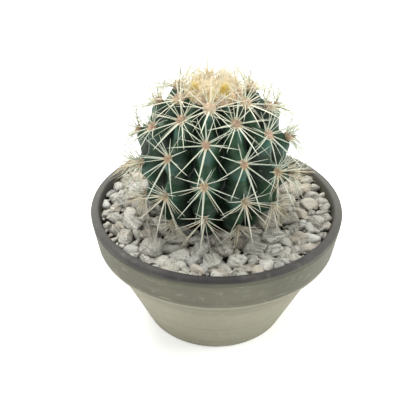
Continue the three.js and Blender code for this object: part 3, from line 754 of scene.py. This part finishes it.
def seeded_random(seed):
    """Draws from 0 to 1 by 32-bit mixing, the same ones that place the stones of the solids."""
    state = seed
    mask = 0xFFFFFFFF

    def draw():
        nonlocal state
        state = (state + 0x6D2B79F5) & mask
        mixed = ((state ^ (state >> 15)) * (1 | state)) & mask
        stirred = ((mixed ^ (mixed >> 7)) * (61 | mixed)) & mask
        mixed = ((mixed + stirred) & mask) ^ mixed
        return (mixed ^ (mixed >> 14)) / 2 ** 32
    return draw


def bed_radius():
    """Radius of the bed's top, a gap away from the pot."""
    return float(pot_inner_radius(np.array(GRAVEL.bed_top))) - GRAVEL.gap


def scatter_stones():
    """Throws stones of falling size at the ring between plant and pot, and keeps those that find room. A
    pair of limits is the least value and what a draw adds to it."""
    draw = seeded_random(GRAVEL.seed)
    stones = np.empty((GRAVEL.stone_count, 7))
    kept = 0
    room = bed_radius()
    inner, outer = GRAVEL.inner_edge ** 2, POT.rim_inner_radius ** 2

    def between(limits):
        return limits[0] + limits[1] * draw()
    for _ in range(GRAVEL.draws):
        if kept == GRAVEL.stone_count:
            break
        share = (kept / GRAVEL.stone_count) ** GRAVEL.size_fall
        play = between(GRAVEL.play)
        size = play * (GRAVEL.largest_stone + share * (GRAVEL.smallest_stone - GRAVEL.largest_stone))
        distance = math.sqrt(inner + draw() * (outer - inner))
        turn = 2 * math.pi * draw()
        middle = np.array([distance * math.cos(turn), distance * math.sin(turn), 0.0])
        middle[2] = GRAVEL.bed_top + GRAVEL.sink * size
        _, _, over = body_places(middle)
        apart = np.hypot(*(stones[:kept, :2] - middle[:2]).T)
        fits_plant = over > GRAVEL.under_ribs * size
        fits_stones = np.all(apart > GRAVEL.crowding * (stones[:kept, 3] + size))
        if distance + size < room and fits_plant and fits_stones:
            flatness = between(GRAVEL.flatness)
            slimness = between(GRAVEL.slimness)
            stones[kept] = [*middle, size, flatness, slimness, math.pi * draw()]
            kept += 1
    return stones[:kept]


def turn_points(shapes, angles, first, second):
    """Turns each shape by its own angle in the plane of two axes."""
    cosine, sine = np.cos(angles)[:, None], np.sin(angles)[:, None]
    turned = shapes.copy()
    turned[..., first] = cosine * shapes[..., first] - sine * shapes[..., second]
    turned[..., second] = sine * shapes[..., first] + cosine * shapes[..., second]
    return turned


def stone_surfaces(stones, random, rings, columns, planes, sharpness):
    """Broken stones. Seen from its middle, a stone ends in each direction where the first of its random
    planes cuts it off. A power mean instead of the nearest plane alone rounds the edges. Waves roughen the
    faces. Gives the surface, the place of each corner in its stone's own directions, and how much it is the
    foot, on which the finish lays painted shade."""
    count = len(stones)
    directions = sphere_directions(rings, columns)
    axes = np.concatenate([np.eye(3), -np.eye(3)])
    axes = axes + random.normal(scale=STONE.axis_play, size=(count, 6, 3))
    normals = unit(np.concatenate([axes, random.normal(size=(count, planes, 3))], axis=1))
    offsets = np.concatenate([
        random.uniform(*STONE.axis_reach, size=(count, 6, 1)),
        random.uniform(*STONE.plane_reach, size=(count, planes, 1)),
    ], axis=1)
    facing = np.maximum(normals @ directions.T / offsets, 0)
    radius = np.minimum((facing ** sharpness).sum(axis=1) ** (-1 / sharpness), STONE.reach_limit)
    shapes = directions * radius[..., None]
    shift = random.uniform(-50, 50, size=(count, 1, 3))
    rough = uneven(shapes + shift, random, *STONE.layers)
    shapes = shapes * (1 + rough)[..., None]
    size, flatness, slimness, turn = stones[:, 3:].T
    shapes = shapes * np.stack([size, size * slimness, size * flatness], axis=-1)[:, None]
    grain = (shapes + shift) * MM
    shapes = turn_points(shapes, random.uniform(-STONE.lean, STONE.lean, count), 0, 2)
    shapes = turn_points(shapes, random.uniform(-STONE.tilt, STONE.tilt, count), 1, 2)
    shapes = turn_points(shapes, turn, 0, 1)
    # How much a corner is the foot, on which the finish lays painted shade.
    foot = 1 - smooth_step(shapes[..., 2] / (size * flatness)[:, None], *STONE.foot)
    placed = clear_of_body(shapes + stones[:, None, :3], GRAVEL.gap)
    surface = skin_spheres(clear_of_pot(placed, GRAVEL.gap), rings, columns)
    return surface, {"grain": grain.reshape(-1, 3), "foot": foot.ravel()}


def make_stones(name, stones, random, **fineness):
    """Makes one piece of stones, each with its own tint, warmth and share of fibres."""
    surface, shades = stone_surfaces(stones, random, **fineness)
    corners = len(surface[0]) // len(stones)
    for shade in ("tint", "warmth", "fibrous"):
        shades[shade] = np.repeat(random.uniform(0, 1, len(stones)), corners)
    make_piece(name, surface, FINISHES.pumice, ["gravel"], shades)


def room_between(middles, stones):
    """Least distance from each place to the outlines of the stones, seen from above, negative inside one."""
    apart = middles[:, None, :2] - stones[None, :, :2]
    size, slimness, turn = stones[:, 3], stones[:, 5], stones[:, 6]
    along = apart[..., 0] * np.cos(turn) + apart[..., 1] * np.sin(turn)
    aside = apart[..., 1] * np.cos(turn) - apart[..., 0] * np.sin(turn)
    share = np.hypot(along / size, aside / (size * slimness))
    return ((share - 1) * size * slimness).min(axis=1)


def heap_at_wall(reach):
    """How much higher the small stones lie along the pot's wall, in millimetres."""
    return HEAP.height * smooth_step(reach, HEAP.inner_reach, HEAP.outer_reach)


def fill_gaps(stones, random, draws, sizes, nestle):
    """Smaller stones, largest first, thrown at the whole bed and kept where the stones leave them room. A
    stone may nestle under its neighbours by a share of its size."""
    size = np.sort(random.uniform(*sizes, draws))[::-1]
    reach = np.sqrt(random.uniform(FILL.inner_reach ** 2, FILL.outer_reach ** 2, draws))
    turn = random.uniform(0, 2 * np.pi, draws)
    level = GRAVEL.bed_top + random.uniform(-FILL.sink, FILL.rise, draws) * size + heap_at_wall(reach)
    shape = [random.uniform(*limits, draws) for limits in (FILL.flatness, FILL.slimness, FILL.turn)]
    thrown = np.column_stack([reach * np.cos(turn), reach * np.sin(turn), level, size, *shape])
    _, _, over = body_places(thrown[:, :3])
    free = (over > -FILL.into_ribs * size) & (room_between(thrown, stones) > -nestle * size)
    thrown = thrown[free]
    kept = []
    for number in range(len(thrown)):
        near = thrown[kept]
        apart = np.hypot(near[:, 0] - thrown[number, 0], near[:, 1] - thrown[number, 1])
        if np.all(apart > FILL.crowding * (near[:, 3] + thrown[number, 3])):
            kept.append(number)
    return thrown[kept]


def build_stones(stones):
    """The stones of the solids, at the same places and sizes, finely broken, then smaller ones between them
    and chips in the gaps that are left."""
    random = np.random.default_rng(SEEDS.stones)
    make_stones("pumice_stones", stones, random, rings=24, columns=32, planes=5, sharpness=40)
    smaller = fill_gaps(stones, random, draws=2600, sizes=(2.2, 4.4), nestle=0.3)
    make_stones("pumice_pebbles", smaller, random, rings=12, columns=16, planes=5, sharpness=30)
    both = np.concatenate([stones, smaller])
    chips = fill_gaps(both, random, draws=5000, sizes=(0.9, 1.9), nestle=0.2)
    make_stones("pumice_chips", chips, random, rings=5, columns=8, planes=4, sharpness=16)


def build_bed():
    """The bed that the stones lie on: a ring between plant and pot, level below, with waves as rough earth on
    top, and higher along the wall. Its near-black finish is painted shade for the gaps between the stones."""
    random = np.random.default_rng(SEEDS.bed)
    reach = np.linspace(bed_radius(), BED.inner_reach, BED.steps)[:, None]
    top = round_points(reach, full_turn(BED.columns), GRAVEL.bed_top)
    top[..., 2] += uneven(top, random, BED.shaded_grit) - BED.sink + heap_at_wall(reach)
    below = top[[-1, 0]].copy()
    below[..., 2] = GRAVEL.bed_foot
    grid = clear_of_body(np.concatenate([below[1:], top, below[:1]]), GRAVEL.gap)
    surface = closed_ring(clear_of_pot(grid, GRAVEL.gap))
    make_piece("gravel_bed", surface, FINISHES.shaded_grit, ["gravel"])


# Needles
# Stations are the shares of a spine's way at which its rings lie. Thicknesses are radii in millimetres.

STATIONS = [-0.05, 0.02, 0.1, 0.24, 0.42, 0.6, 0.78, 0.92]
FIBRE_STATIONS = [0.0, 0.5]
TUFT_STATIONS = [0.0, 0.3, 0.7]
NEEDLE = SimpleNamespace(root_swell=0.25, swell_length=0.05, taper=0.55, round_below=0.37, flat_above=0.45)
# The rise is in degrees from the skin. A count grows by count_aside towards the plant's sides.
FAN = SimpleNamespace(
    young_below_row=0.8, young_count=14, young_rise=(14, 42), count=4, count_aside=5, rise=(22, 65),
    length=(13.0, 24.0), thickness=(0.14, 0.21), bend=(0.04, 0.3), ring=1.1,
)
DRY = SimpleNamespace(
    above_row=1.9, count=5, count_aside=23, length=(9.0, 21.0), thickness=(0.14, 0.22), age=(0.9, 1.0),
    bend=(0.0, 0.4), over_bed=(2.8, 5.0), arch=0.8, wall_gap=1.5,
)


def needle_surface(spines, sides, stations):
    """Tapering spines of an oval section, flat in the stoutest. The centre line is the parabola through root,
    middle and tip, and the radius falls from the root to the tip as a power of the way left."""
    root, middle, tip = spines.root[:, None], spines.middle[:, None], spines.tip[:, None]
    share = np.array(stations)[None, :, None]

    def centre_line(q):
        return root * (1 - q) * (1 - 2 * q) + middle * 4 * q * (1 - q) + tip * q * (2 * q - 1)
    along = unit(spines.tip - spines.root)
    side = unit(np.cross(along, spines.normal))
    other = np.cross(along, side)
    swell = 1 + NEEDLE.root_swell * np.exp(-np.maximum(share, 0) / NEEDLE.swell_length)
    radius = spines.radius[:, None, None] * swell * np.maximum(1 - share, 0.01) ** NEEDLE.taper
    flat = smooth_step(spines.radius, NEEDLE.round_below, NEEDLE.flat_above)[:, None, None]
    radius = radius * (0.95 - 0.15 * flat)
    turn = full_turn(sides)[:, None]
    ring = (1.08 + 0.42 * flat) * np.cos(turn) * side[:, None]
    ring = ring + (0.9 - 0.25 * flat) * np.sin(turn) * other[:, None]
    rings = centre_line(share)[:, :, None] + radius[..., None] * ring[:, None]
    surface = closed_skins(centre_line(share[:, :1])[:, 0], rings, spines.tip)
    way = np.clip(np.concatenate([[0], np.repeat(stations, sides), [1]]), 0, 1)
    shades = {"along": np.tile(way, len(spines.root)), "age": np.repeat(spines.age, len(way))}
    return surface, shades


def straight_spines(root, direction, length, radius, normal, age, bend):
    """Spines from their roots along directions, sagging against the normal with the square of the way."""
    sag = bend * length[:, None] * normal
    middle = root + 0.5 * length[:, None] * direction - 0.25 * sag
    tip = root + length[:, None] * direction - sag
    return SimpleNamespace(root=root, middle=middle, tip=tip, radius=radius, normal=normal, age=age)


def draw_each(random, limits, count):
    """Draws between two limits. A single value, or one for each, stays as it is."""
    return random.uniform(*limits, count) if isinstance(limits, tuple) else np.full(count, limits)


def grow(random, kind, root, direction, normal, age):
    """Spines of a kind, each with its own length, thickness, age and bend."""
    limits = (kind.length, kind.thickness, age, kind.bend)
    length, radius, age, bend = [draw_each(random, one, len(normal)) for one in limits]
    return straight_spines(root, direction, length, radius, normal, age, bend[:, None])


def join_spines(sets):
    """One set of several sets of spines."""
    names = ("root", "middle", "tip", "radius", "normal", "age")
    return SimpleNamespace(**{name: np.concatenate([getattr(s, name) for s in sets]) for name in names})


def under_top(spines):
    """Shortens spines that would reach above the plant's height, towards their roots."""
    room = (TOP - spines.root[:, 2]) / np.maximum(spines.tip[:, 2] - spines.root[:, 2], 0.01)
    share = np.clip(room, 0.2, 1)[:, None]
    spines.tip = spines.root + share * (spines.tip - spines.root)
    spines.middle = spines.root + share * (spines.middle - spines.root)
    return spines


def make_spines(name, sets, replaced):
    """Makes one piece of several sets of spines."""
    surface, shades = needle_surface(under_top(join_spines(sets)), 6, STATIONS)
    make_piece(name, surface, FINISHES.horn, replaced, shades)


def read_spines(node):
    """Middle, tip, root and radius of each spine of a solid. A spine's tip is a corner with three
    neighbours, the corners of the ring round its middle. Their other neighbours are its root's corners."""
    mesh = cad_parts[node].data
    places = np.empty(3 * len(mesh.vertices), np.float32)
    mesh.vertices.foreach_get("co", places)
    loops = np.empty(len(mesh.loops), np.int32)
    mesh.loops.foreach_get("vertex_index", loops)
    corners, number = np.unique(np.round(places.reshape(-1, 3) / MM, 3), axis=0, return_inverse=True)
    triangles = number.ravel()[loops].reshape(-1, 3)
    near = np.zeros((len(corners), len(corners)), bool)
    near[triangles, np.roll(triangles, 1, axis=1)] = True
    near |= near.T
    found = {"root": [], "middle": [], "tip": [], "radius": []}
    for tip in np.flatnonzero(near.sum(axis=1) == 3):
        ring = near[tip]
        rest = near[ring].any(axis=0) & ~ring
        rest[tip] = False
        middle = corners[ring].mean(axis=0)
        found["tip"].append(corners[tip])
        found["middle"].append(middle)
        found["root"].append(corners[rest].mean(axis=0))
        found["radius"].append(np.linalg.norm(corners[ring] - middle, axis=1).mean() / 0.88)
    return {name: np.array(values) for name, values in found.items()}


def list_areoles():
    """Every areole: its rib, its place on the rib (0 is in the crown), its row, latitude and azimuth."""
    rows = []
    for rib in range(BODY.ribs):
        shift = row_shift(rib) % 1
        first = math.ceil(AREOLES.youngest_row - 1 - shift)
        for place in range(AREOLES.rows_on_rib + 1):
            row = first + place + shift
            azimuth = BODY.first_rib + rib * 360 / BODY.ribs
            rows.append([rib, place, row, min(latitude_of_row(row), 88.0), azimuth])
    return np.array(rows)


def grown_areoles(areoles, rib):
    """The areoles of a rib below the crown, and the names of their solids."""
    grown = areoles[(areoles[:, 0] == rib) & (areoles[:, 1] > 0)]
    return grown, [f"spine_cluster_rib_{rib + 1:02d}_row_{int(place)}" for place in grown[:, 1]]


def age_of(row):
    """About 0.2 next to the crown and 0.85 at the foot. Dry needles are older."""
    return np.clip(0.22 + 0.2 * row, 0, 0.85)


def skin_frames(latitude, azimuth):
    """Outward normal, way to the right and way up the rib at places on the plant."""
    level, turn = np.radians(latitude), np.radians(azimuth)
    normal = unit(np.stack([
        np.cos(level) * np.sin(turn) / BODY.radius,
        -np.cos(level) * np.cos(turn) / BODY.radius,
        np.sin(level) / BODY.half_height,
    ], axis=-1))
    right = np.stack([np.cos(turn), np.sin(turn), 0 * turn], axis=-1)
    return normal, right, np.cross(normal, right)


def frames_at(latitude, azimuth, count):
    """Those of one place, for a number of spines there."""
    return skin_frames(np.full(count, latitude), np.full(count, azimuth))


def fan_of_needles(areole, random, count, age, rises):
    """Long fine needles that fan out all round one areole, at even clock angles with some play, and rise
    from the skin by angles between two limits in degrees. Some bend back to it."""
    latitude, azimuth = areole[3:]
    normal, right, up = frames_at(latitude, azimuth, count)
    clock = np.radians(360 * (np.arange(count) + random.uniform(0, 1, count)) / count)[:, None]
    rise = np.radians(random.uniform(*rises, count))[:, None]
    level = np.sin(clock) * right + np.cos(clock) * up
    direction = np.cos(rise) * level + np.sin(rise) * normal
    root = body_point(latitude, azimuth, 1.0) + FAN.ring * level
    return grow(random, FAN, root, direction, normal, age)


def dry_needles(areole, random, count):
    """Old dry needles of a low areole: long, thin and bent, out over the stones to all sides."""
    latitude, azimuth = areole[3:]
    normal, right, up = frames_at(latitude, azimuth, count)
    aside = random.uniform(-1.8, 1.8, (count, 1))
    direction = unit(normal + aside * right + random.uniform(-0.9, 0.4, (count, 1)) * up)
    root = np.tile(body_point(latitude, azimuth, 1.0), (count, 1))
    spines = grow(random, DRY, root, direction, normal, DRY.age)
    lowest = GRAVEL.bed_top + random.uniform(*DRY.over_bed, count)
    spines.tip[:, 2] = np.maximum(spines.tip[:, 2], lowest)
    spines.middle[:, 2] = np.maximum(spines.middle[:, 2], lowest + DRY.arch)
    spines.tip = clear_of_pot(spines.tip, DRY.wall_gap)
    return spines


def build_needles(areoles):
    """The spines of each rib: those of its solids, finer ones between them, and dry ones near the gravel,
    which are most at the plant's sides."""
    for rib in range(BODY.ribs):
        random = np.random.default_rng([SEEDS.needles, rib])
        sets = []
        grown, names = grown_areoles(areoles, rib)
        for areole, name in zip(grown, names):
            found = read_spines(name)
            count = len(found["tip"])
            age = float(age_of(areole[2]))
            normal, _, _ = frames_at(areole[3], areole[4], count)
            spread = np.clip(age + random.normal(scale=0.05, size=count), 0, 1)
            sets.append(SimpleNamespace(**found, normal=normal, age=spread))
            sideways = abs(math.sin(math.radians(areole[4])))
            if areole[2] < FAN.young_below_row:
                sets.append(fan_of_needles(areole, random, FAN.young_count, age, FAN.young_rise))
            else:
                count = round(FAN.count + FAN.count_aside * sideways)
                sets.append(fan_of_needles(areole, random, count, age, FAN.rise))
            if areole[2] > DRY.above_row:
                count = round(DRY.count + DRY.count_aside * sideways ** 3)
                sets.append(dry_needles(areole, random, count))
        make_spines(f"spines_rib_{rib + 1:02d}", sets, names)


# Felt

PAD = SimpleNamespace(rings=9, columns=15, lumps=(0.13, 12, 1.1), lift=0.45, fibres=110, length=(0.5, 1.5))
# The youngest pads are swollen and have longer fibres besides.
FRESH = SimpleNamespace(below_row=0.8, swelling=0.3, fibres=130, length=(1.0, 2.5), age_share=0.6)


def felt_pads(areoles, sizes, lift, random):
    """Lumpy domes of felt: spheres stretched along the normal, right and up of their areoles."""
    frames = np.stack(skin_frames(areoles[:, 3], areoles[:, 4]), axis=1) * sizes[:, :, None]
    directions = sphere_directions(PAD.rings, PAD.columns)
    shift = random.uniform(-40, 40, size=(len(areoles), 1, 3))
    lumps = 1 + uneven(directions + shift, random, PAD.lumps)
    middle = body_point(areoles[:, 3], areoles[:, 4], lift)
    placed = np.einsum("pd,ndk->npk", directions, frames) * lumps[..., None] + middle[:, None]
    return skin_spheres(placed, PAD.rings, PAD.columns)


def felt_fibres(areoles, sizes, lift, ages, kind, random):
    """Short tapering fibres that stand out of the pads and hang a little."""
    number = np.repeat(np.arange(len(areoles)), kind.fibres)
    frames = np.stack(skin_frames(areoles[number, 3], areoles[number, 4]), axis=1)
    way = unit(random.normal(size=(len(number), 3)) + np.array([0.9, 0, 0]))
    way[:, 0] = np.abs(way[:, 0])
    middle = body_point(areoles[number, 3], areoles[number, 4], lift[number])
    root = middle + np.einsum("nd,ndk->nk", way * sizes[number] * 0.9, frames)
    loose = way + random.normal(scale=0.45, size=way.shape)
    direction = unit(np.einsum("nd,ndk->nk", loose, frames))
    fibre = SimpleNamespace(length=kind.length, thickness=(0.05, 0.085), bend=0.12)
    return grow(random, fibre, root, direction, frames[:, 0], ages[number])


def make_fuzzy(name, body, ages, fibres, finish, replaced):
    """Makes one piece of lumpy bodies, each with its age, and the fibres on them."""
    hair, shades = needle_surface(fibres, 3, FIBRE_STATIONS)
    corners = len(body[0])
    both = {
        "along": np.concatenate([np.zeros(corners), shades["along"]]),
        "age": np.concatenate([np.repeat(ages, corners // len(ages)), shades["age"]]),
    }
    make_piece(name, join_surfaces(body, hair), finish, replaced, both)


def pad_sizes(areoles, random):
    """Half thickness, half width and half height of the pads, which dry and shrink with age. Those next to
    the crown are still swollen."""
    share = np.clip(areoles[:, 2] / AREOLES.rows_on_rib, 0, 1)
    vigour = AREOLES.young_share + (AREOLES.old_share - AREOLES.young_share) * share
    vigour = vigour * (1 + FRESH.swelling - FRESH.swelling * smooth_step(areoles[:, 2], 0.1, 0.7))
    play = random.uniform(0.95, 1.1, (len(areoles), 1))
    pad = np.array([AREOLES.thickness, AREOLES.half_width, AREOLES.half_height])
    return pad * vigour[:, None] * play


def build_felt(areoles):
    """The felt pads of each rib, with their fibres, which are longest on the youngest."""
    for rib in range(BODY.ribs):
        random = np.random.default_rng([SEEDS.felt, rib])
        grown, names = grown_areoles(areoles, rib)
        sizes = pad_sizes(grown, random)
        ages = age_of(grown[:, 2])
        lift = np.full(len(grown), PAD.lift)
        pads = felt_pads(grown, sizes, lift, random)
        short = felt_fibres(grown, sizes, lift, ages, PAD, random)
        fresh = grown[:, 2] < FRESH.below_row
        young_ages = FRESH.age_share * ages[fresh]
        long = felt_fibres(grown[fresh], sizes[fresh], lift[fresh], young_ages, FRESH, random)
        fibres = join_spines([short, long])
        make_fuzzy(f"felt_rib_{rib + 1:02d}", pads, ages, fibres, FINISHES.felt, names)


# Crown

WOOL = SimpleNamespace(
    columns=156, steps=22, lumps=((0.55, 14, 4.5), (0.3, 14, 1.6)), fibres=5200, length=(0.8, 2.1),
    thickness=(0.05, 0.09), bend=0.2, sunk=0.8, edge_fall=0.8, root_depth=0.7, edge_root_depth=1.6,
)
# Pads are half thickness, half width and half height. Those behind are sunk a little.
YOUNG_FELT = SimpleNamespace(
    below_latitude=82, drop=4.5, gather=13, pad=(2.1, 3.2, 3.0), sink=1.7, sink_behind=0.9, fibres=260,
    length=(0.8, 2.2), age=(0.15, 0.25),
)
YOUNG_SPINES = SimpleNamespace(
    outer_latitude=78, outer_count=70, inner_count=16, spread=2.6, sink=1.4, shortest=3.0, longest_more=13.0,
    rarity=2.4, thickness=0.14, thinner=0.005, age=(0.1, 0.17), bend=0.05,
)
TUFT = SimpleNamespace(
    below_latitude=76, latitude=74.0, front=50, bright_count=130, pale_count=30, aside=14.0, left=9.0,
    half_width=1.4, sink=1.2, length=(4.5, 8.0), thickness=(0.16, 0.26), age=(0.05, 0.15), bend=0.02,
)


def wool_lift(latitude):
    """Height of the wool over the crests, changing with the square of the way from the growing point."""
    share = (90 - latitude) / (90 - CROWN.edge_latitude)
    return CROWN.underside + CROWN.wool + (CROWN.edge_wool - CROWN.wool) * share ** 2


def crown_edge(azimuth, young):
    """Latitude of the wool's edge: lower round a young areole, a mean of neighbours in each furrow."""
    edges = np.minimum(CROWN.edge_latitude, young[:, 3] - CROWN.margin)
    turns = (azimuth - BODY.first_rib) / 360 * BODY.ribs
    rib = np.floor(turns).astype(int)
    share = turns - rib
    return edges[rib % BODY.ribs] * (1 - share) + edges[(rib + 1) % BODY.ribs] * share


def build_crown_wool(young):
    """A low cushion over the growing point with loose fibres on it. Its top is the skin lifted by the height
    of the wool and by waves, and falls with the eighth power of the way to its scalloped edge."""
    random = np.random.default_rng(SEEDS.wool)
    azimuth = BODY.first_rib + 360 * np.arange(WOOL.columns) / WOOL.columns
    share = np.linspace(1 / WOOL.steps, 1, WOOL.steps)[:, None]
    latitude = 90 - share * (90 - crown_edge(azimuth, young))
    turn = azimuth + 0 * latitude
    lumps = uneven(body_point(latitude, turn), random, *WOOL.lumps)
    height = (wool_lift(latitude) + lumps) * (1 - WOOL.edge_fall * share ** 8)
    upper = body_point(latitude, turn, height)[::-1]
    underside = CROWN.underside - WOOL.sunk
    lower = body_point(latitude[3::6], turn[3::6], underside)
    rings = np.concatenate([lower, upper])[None]
    cushion = closed_skins(growing_point(underside), rings, growing_point(wool_lift(90.0)))
    place = np.sqrt(random.uniform(0, 1, WOOL.fibres))
    where = random.uniform(0, 360, WOOL.fibres)
    level = 90 - place * (90 - crown_edge(where, young))
    root = body_point(level, where, wool_lift(level) - WOOL.root_depth - WOOL.edge_root_depth * place ** 6)
    normal, _, _ = skin_frames(level, where)
    direction = unit(normal + [0, 0, 0.6] + random.normal(scale=0.5, size=(WOOL.fibres, 3)))
    fibres = grow(random, WOOL, root, direction, normal, 0.0)
    make_fuzzy("crown_wool", cushion, np.zeros(1), fibres, FINISHES.wool, ["crown"])


def build_young_felt(young):
    """The big soft pads of the youngest areoles, which stand out of the wool at its edge, drawn together a
    little in front, and lower behind."""
    random = np.random.default_rng(SEEDS.young_felt)
    outer = young[young[:, 3] < YOUNG_FELT.below_latitude].copy()
    outer[:, 3] -= YOUNG_FELT.drop
    outer[:, 4] -= YOUNG_FELT.gather * np.sin(np.radians(outer[:, 4] - BODY.first_rib))
    sizes = np.array(YOUNG_FELT.pad) * random.uniform(0.92, 1.12, (len(outer), 1))
    behind = smooth_step(-np.cos(np.radians(outer[:, 4])), 0.0, 0.6)
    lift = wool_lift(outer[:, 3]) - YOUNG_FELT.sink - YOUNG_FELT.sink_behind * behind
    ages = random.uniform(*YOUNG_FELT.age, len(outer))
    pads = felt_pads(outer, sizes, lift, random)
    fibres = felt_fibres(outer, sizes, lift, ages, YOUNG_FELT, random)
    make_fuzzy("young_felt", pads, ages, fibres, FINISHES.felt, ["crown"])


def build_crown_needles(young):
    """The youngest spines: those of the solid, and fine pale ones that stand up round each areole. Most are
    short. The few long ones are the finest."""
    random = np.random.default_rng(SEEDS.crown_spines)
    kind = YOUNG_SPINES
    found = read_spines("crown")
    found["root"] = 2 * found["middle"] - found["tip"]
    latitude, azimuth, _ = body_places(found["root"])
    normal, _, _ = skin_frames(latitude, azimuth)
    found["radius"] = 0.65 * found["radius"]
    sets = [SimpleNamespace(**found, normal=normal, age=random.uniform(0.12, 0.24, len(normal)))]
    for level, turn in young[:, 3:]:
        count = kind.outer_count if level < kind.outer_latitude else kind.inner_count
        normal, right, up = frames_at(level, turn, count)
        clock = random.uniform(0, 2 * np.pi, count)[:, None]
        spread = np.sqrt(random.uniform(0, 1, count))[:, None]
        outward = np.sin(clock) * right + np.cos(clock) * up
        root = body_point(level, turn, wool_lift(level) - kind.sink) + kind.spread * spread * outward
        loose = random.normal(scale=0.15, size=(count, 3))
        direction = unit(normal + [0, 0, 0.5] + spread * outward + loose)
        lengths = kind.shortest + kind.longest_more * random.uniform(0, 1, count) ** kind.rarity
        widths = kind.thickness - kind.thinner * lengths
        ages = random.uniform(*kind.age, count)
        sets.append(straight_spines(root, direction, lengths, widths, normal, ages, kind.bend))
    make_spines("crown_spines", sets, ["crown"])


def build_tufts(young):
    """Tufts of short new spines in the wool beside the lower young areoles, on the side away from the front
    and a little to the left: bright yellow in front, paler behind."""
    random = np.random.default_rng(SEEDS.tufts)
    sets = []
    for turn in young[young[:, 3] < TUFT.below_latitude][:, 4]:
        turn = (turn + 180) % 360 - 180
        bright = abs(turn) < TUFT.front
        count = TUFT.bright_count if bright else TUFT.pale_count
        turn = turn + math.copysign(TUFT.aside, turn) - TUFT.left
        normal, right, up = frames_at(TUFT.latitude, turn, count)
        aside, above = random.uniform(-TUFT.half_width, TUFT.half_width, (2, count, 1))
        root = body_point(TUFT.latitude, turn, wool_lift(TUFT.latitude) - TUFT.sink)
        root = root + aside * right + above * up
        loose = random.normal(scale=0.08, size=(count, 3))
        direction = unit(0.4 * normal + [0, 0, 0.8] + 0.1 * aside * right + loose)
        sets.append(grow(random, TUFT, root, direction, normal, 0.0 if bright else TUFT.age))
    surface, shades = needle_surface(under_top(join_spines(sets)), 5, TUFT_STATIONS)
    shades["age"] = shades["age"] + 0.04 * shades["along"] ** 2
    shades["along"] = shades["along"] * 0.1
    make_piece("new_spine_tufts", surface, FINISHES.horn, ["crown"], shades)


# Studio

CAMERA = SimpleNamespace(distance=355.8, elevation=33.3, target=(-9.1, 0.0, 72.4), field=35.0, sensor=36.0)
FLOOR = SimpleNamespace(radius=4000, columns=96, underside=-40.0, top=-0.02, glow=0.3)


def build_floor():
    """A round pale floor under the pot, closed below, wide enough to fill the view. It glows faintly, as
    painted light that lightens the shadows on it.
    """
    level = np.array([FLOOR.underside, FLOOR.top])[:, None]
    grid = round_points(FLOOR.radius, full_turn(FLOOR.columns), level)
    ends = [np.array([[0, 0, height]]) for height in (FLOOR.underside, FLOOR.top)]
    mesh = new_mesh("studio_floor", closed_skins(ends[0], grid[None], ends[1]), False)
    # The glow is painted light that lightens the shadows on the floor.
    finish = Finish("studio_floor", Roughness=0.9, Specular_IOR_Level=0.1, Emission_Strength=FLOOR.glow,
                    Emission_Color=(1.0, 1.0, 1.0, 1.0))
    finish.feed("Base Color", finish.mix(finish.effect("mottle", Scale=3.0), "f6f6f5", "fafaf9"))
    mesh.materials.append(finish.material)
    link_object("studio_floor", mesh)


def point_along(direction):
    """Turn of a camera or lamp that looks along a direction, with its top up."""
    x, y, z = unit(np.asarray(direction, float))
    return (math.acos(-z), 0.0, math.atan2(y, x) - math.pi / 2)


def add_lamp(name, place, size, energy, colour):
    """A soft round lamp that shines at the plant."""
    lamp = bpy.data.lights.new(name, "AREA")
    lamp.shape = "DISK"
    lamp.size = size
    lamp.energy = energy
    lamp.color = colour
    holder = link_object(name, lamp)
    holder.location = place
    holder.rotation_euler = point_along(np.array([0, 0, 0.09]) - np.array(place))


def build_light():
    """An even white surround, a large soft lamp above and behind, and a smaller one on either side."""
    world = bpy.data.worlds.new("studio")
    world.use_nodes = True
    surround = world.node_tree.nodes["Background"].inputs
    surround["Color"].default_value = (0.97, 0.985, 1.0, 1.0)
    surround["Strength"].default_value = 0.76
    bpy.context.scene.world = world
    add_lamp("soft_top", (-0.2, 0.42, 1.0), 1.0, 17.0, (1.0, 0.985, 0.96))
    add_lamp("soft_right", (0.9, -0.1, 0.5), 0.6, 6.0, (0.97, 1.0, 0.95))
    add_lamp("soft_left", (-0.8, -0.25, 0.6), 0.7, 2.4, (1.0, 1.0, 0.98))


def build_camera():
    """The camera at the viewing angle, on the side of -Y, looking down at the plant."""
    data = bpy.data.cameras.new("camera")
    data.sensor_width = CAMERA.sensor
    data.lens = CAMERA.sensor / 2 / math.tan(math.radians(CAMERA.field) / 2)
    camera = link_object("camera", data)
    rise = math.radians(CAMERA.elevation)
    back = np.array([0.0, -math.cos(rise), math.sin(rise)])
    camera.location = (np.array(CAMERA.target) + CAMERA.distance * back) * MM
    camera.rotation_euler = point_along(-back)
    bpy.context.scene.camera = camera
    bpy.context.scene.view_settings.view_transform = "Standard"


# Assembly

build_camera()
build_light()
build_floor()
build_pot()
build_body()
stones = scatter_stones()
build_stones(stones)
build_bed()
areoles = list_areoles()
young = areoles[areoles[:, 1] == 0]
build_needles(areoles)
build_felt(areoles)
build_crown_wool(young)
build_young_felt(young)
build_crown_needles(young)
build_tufts(young)
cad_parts["soil"].material_slots[0].material = FINISHES.soil
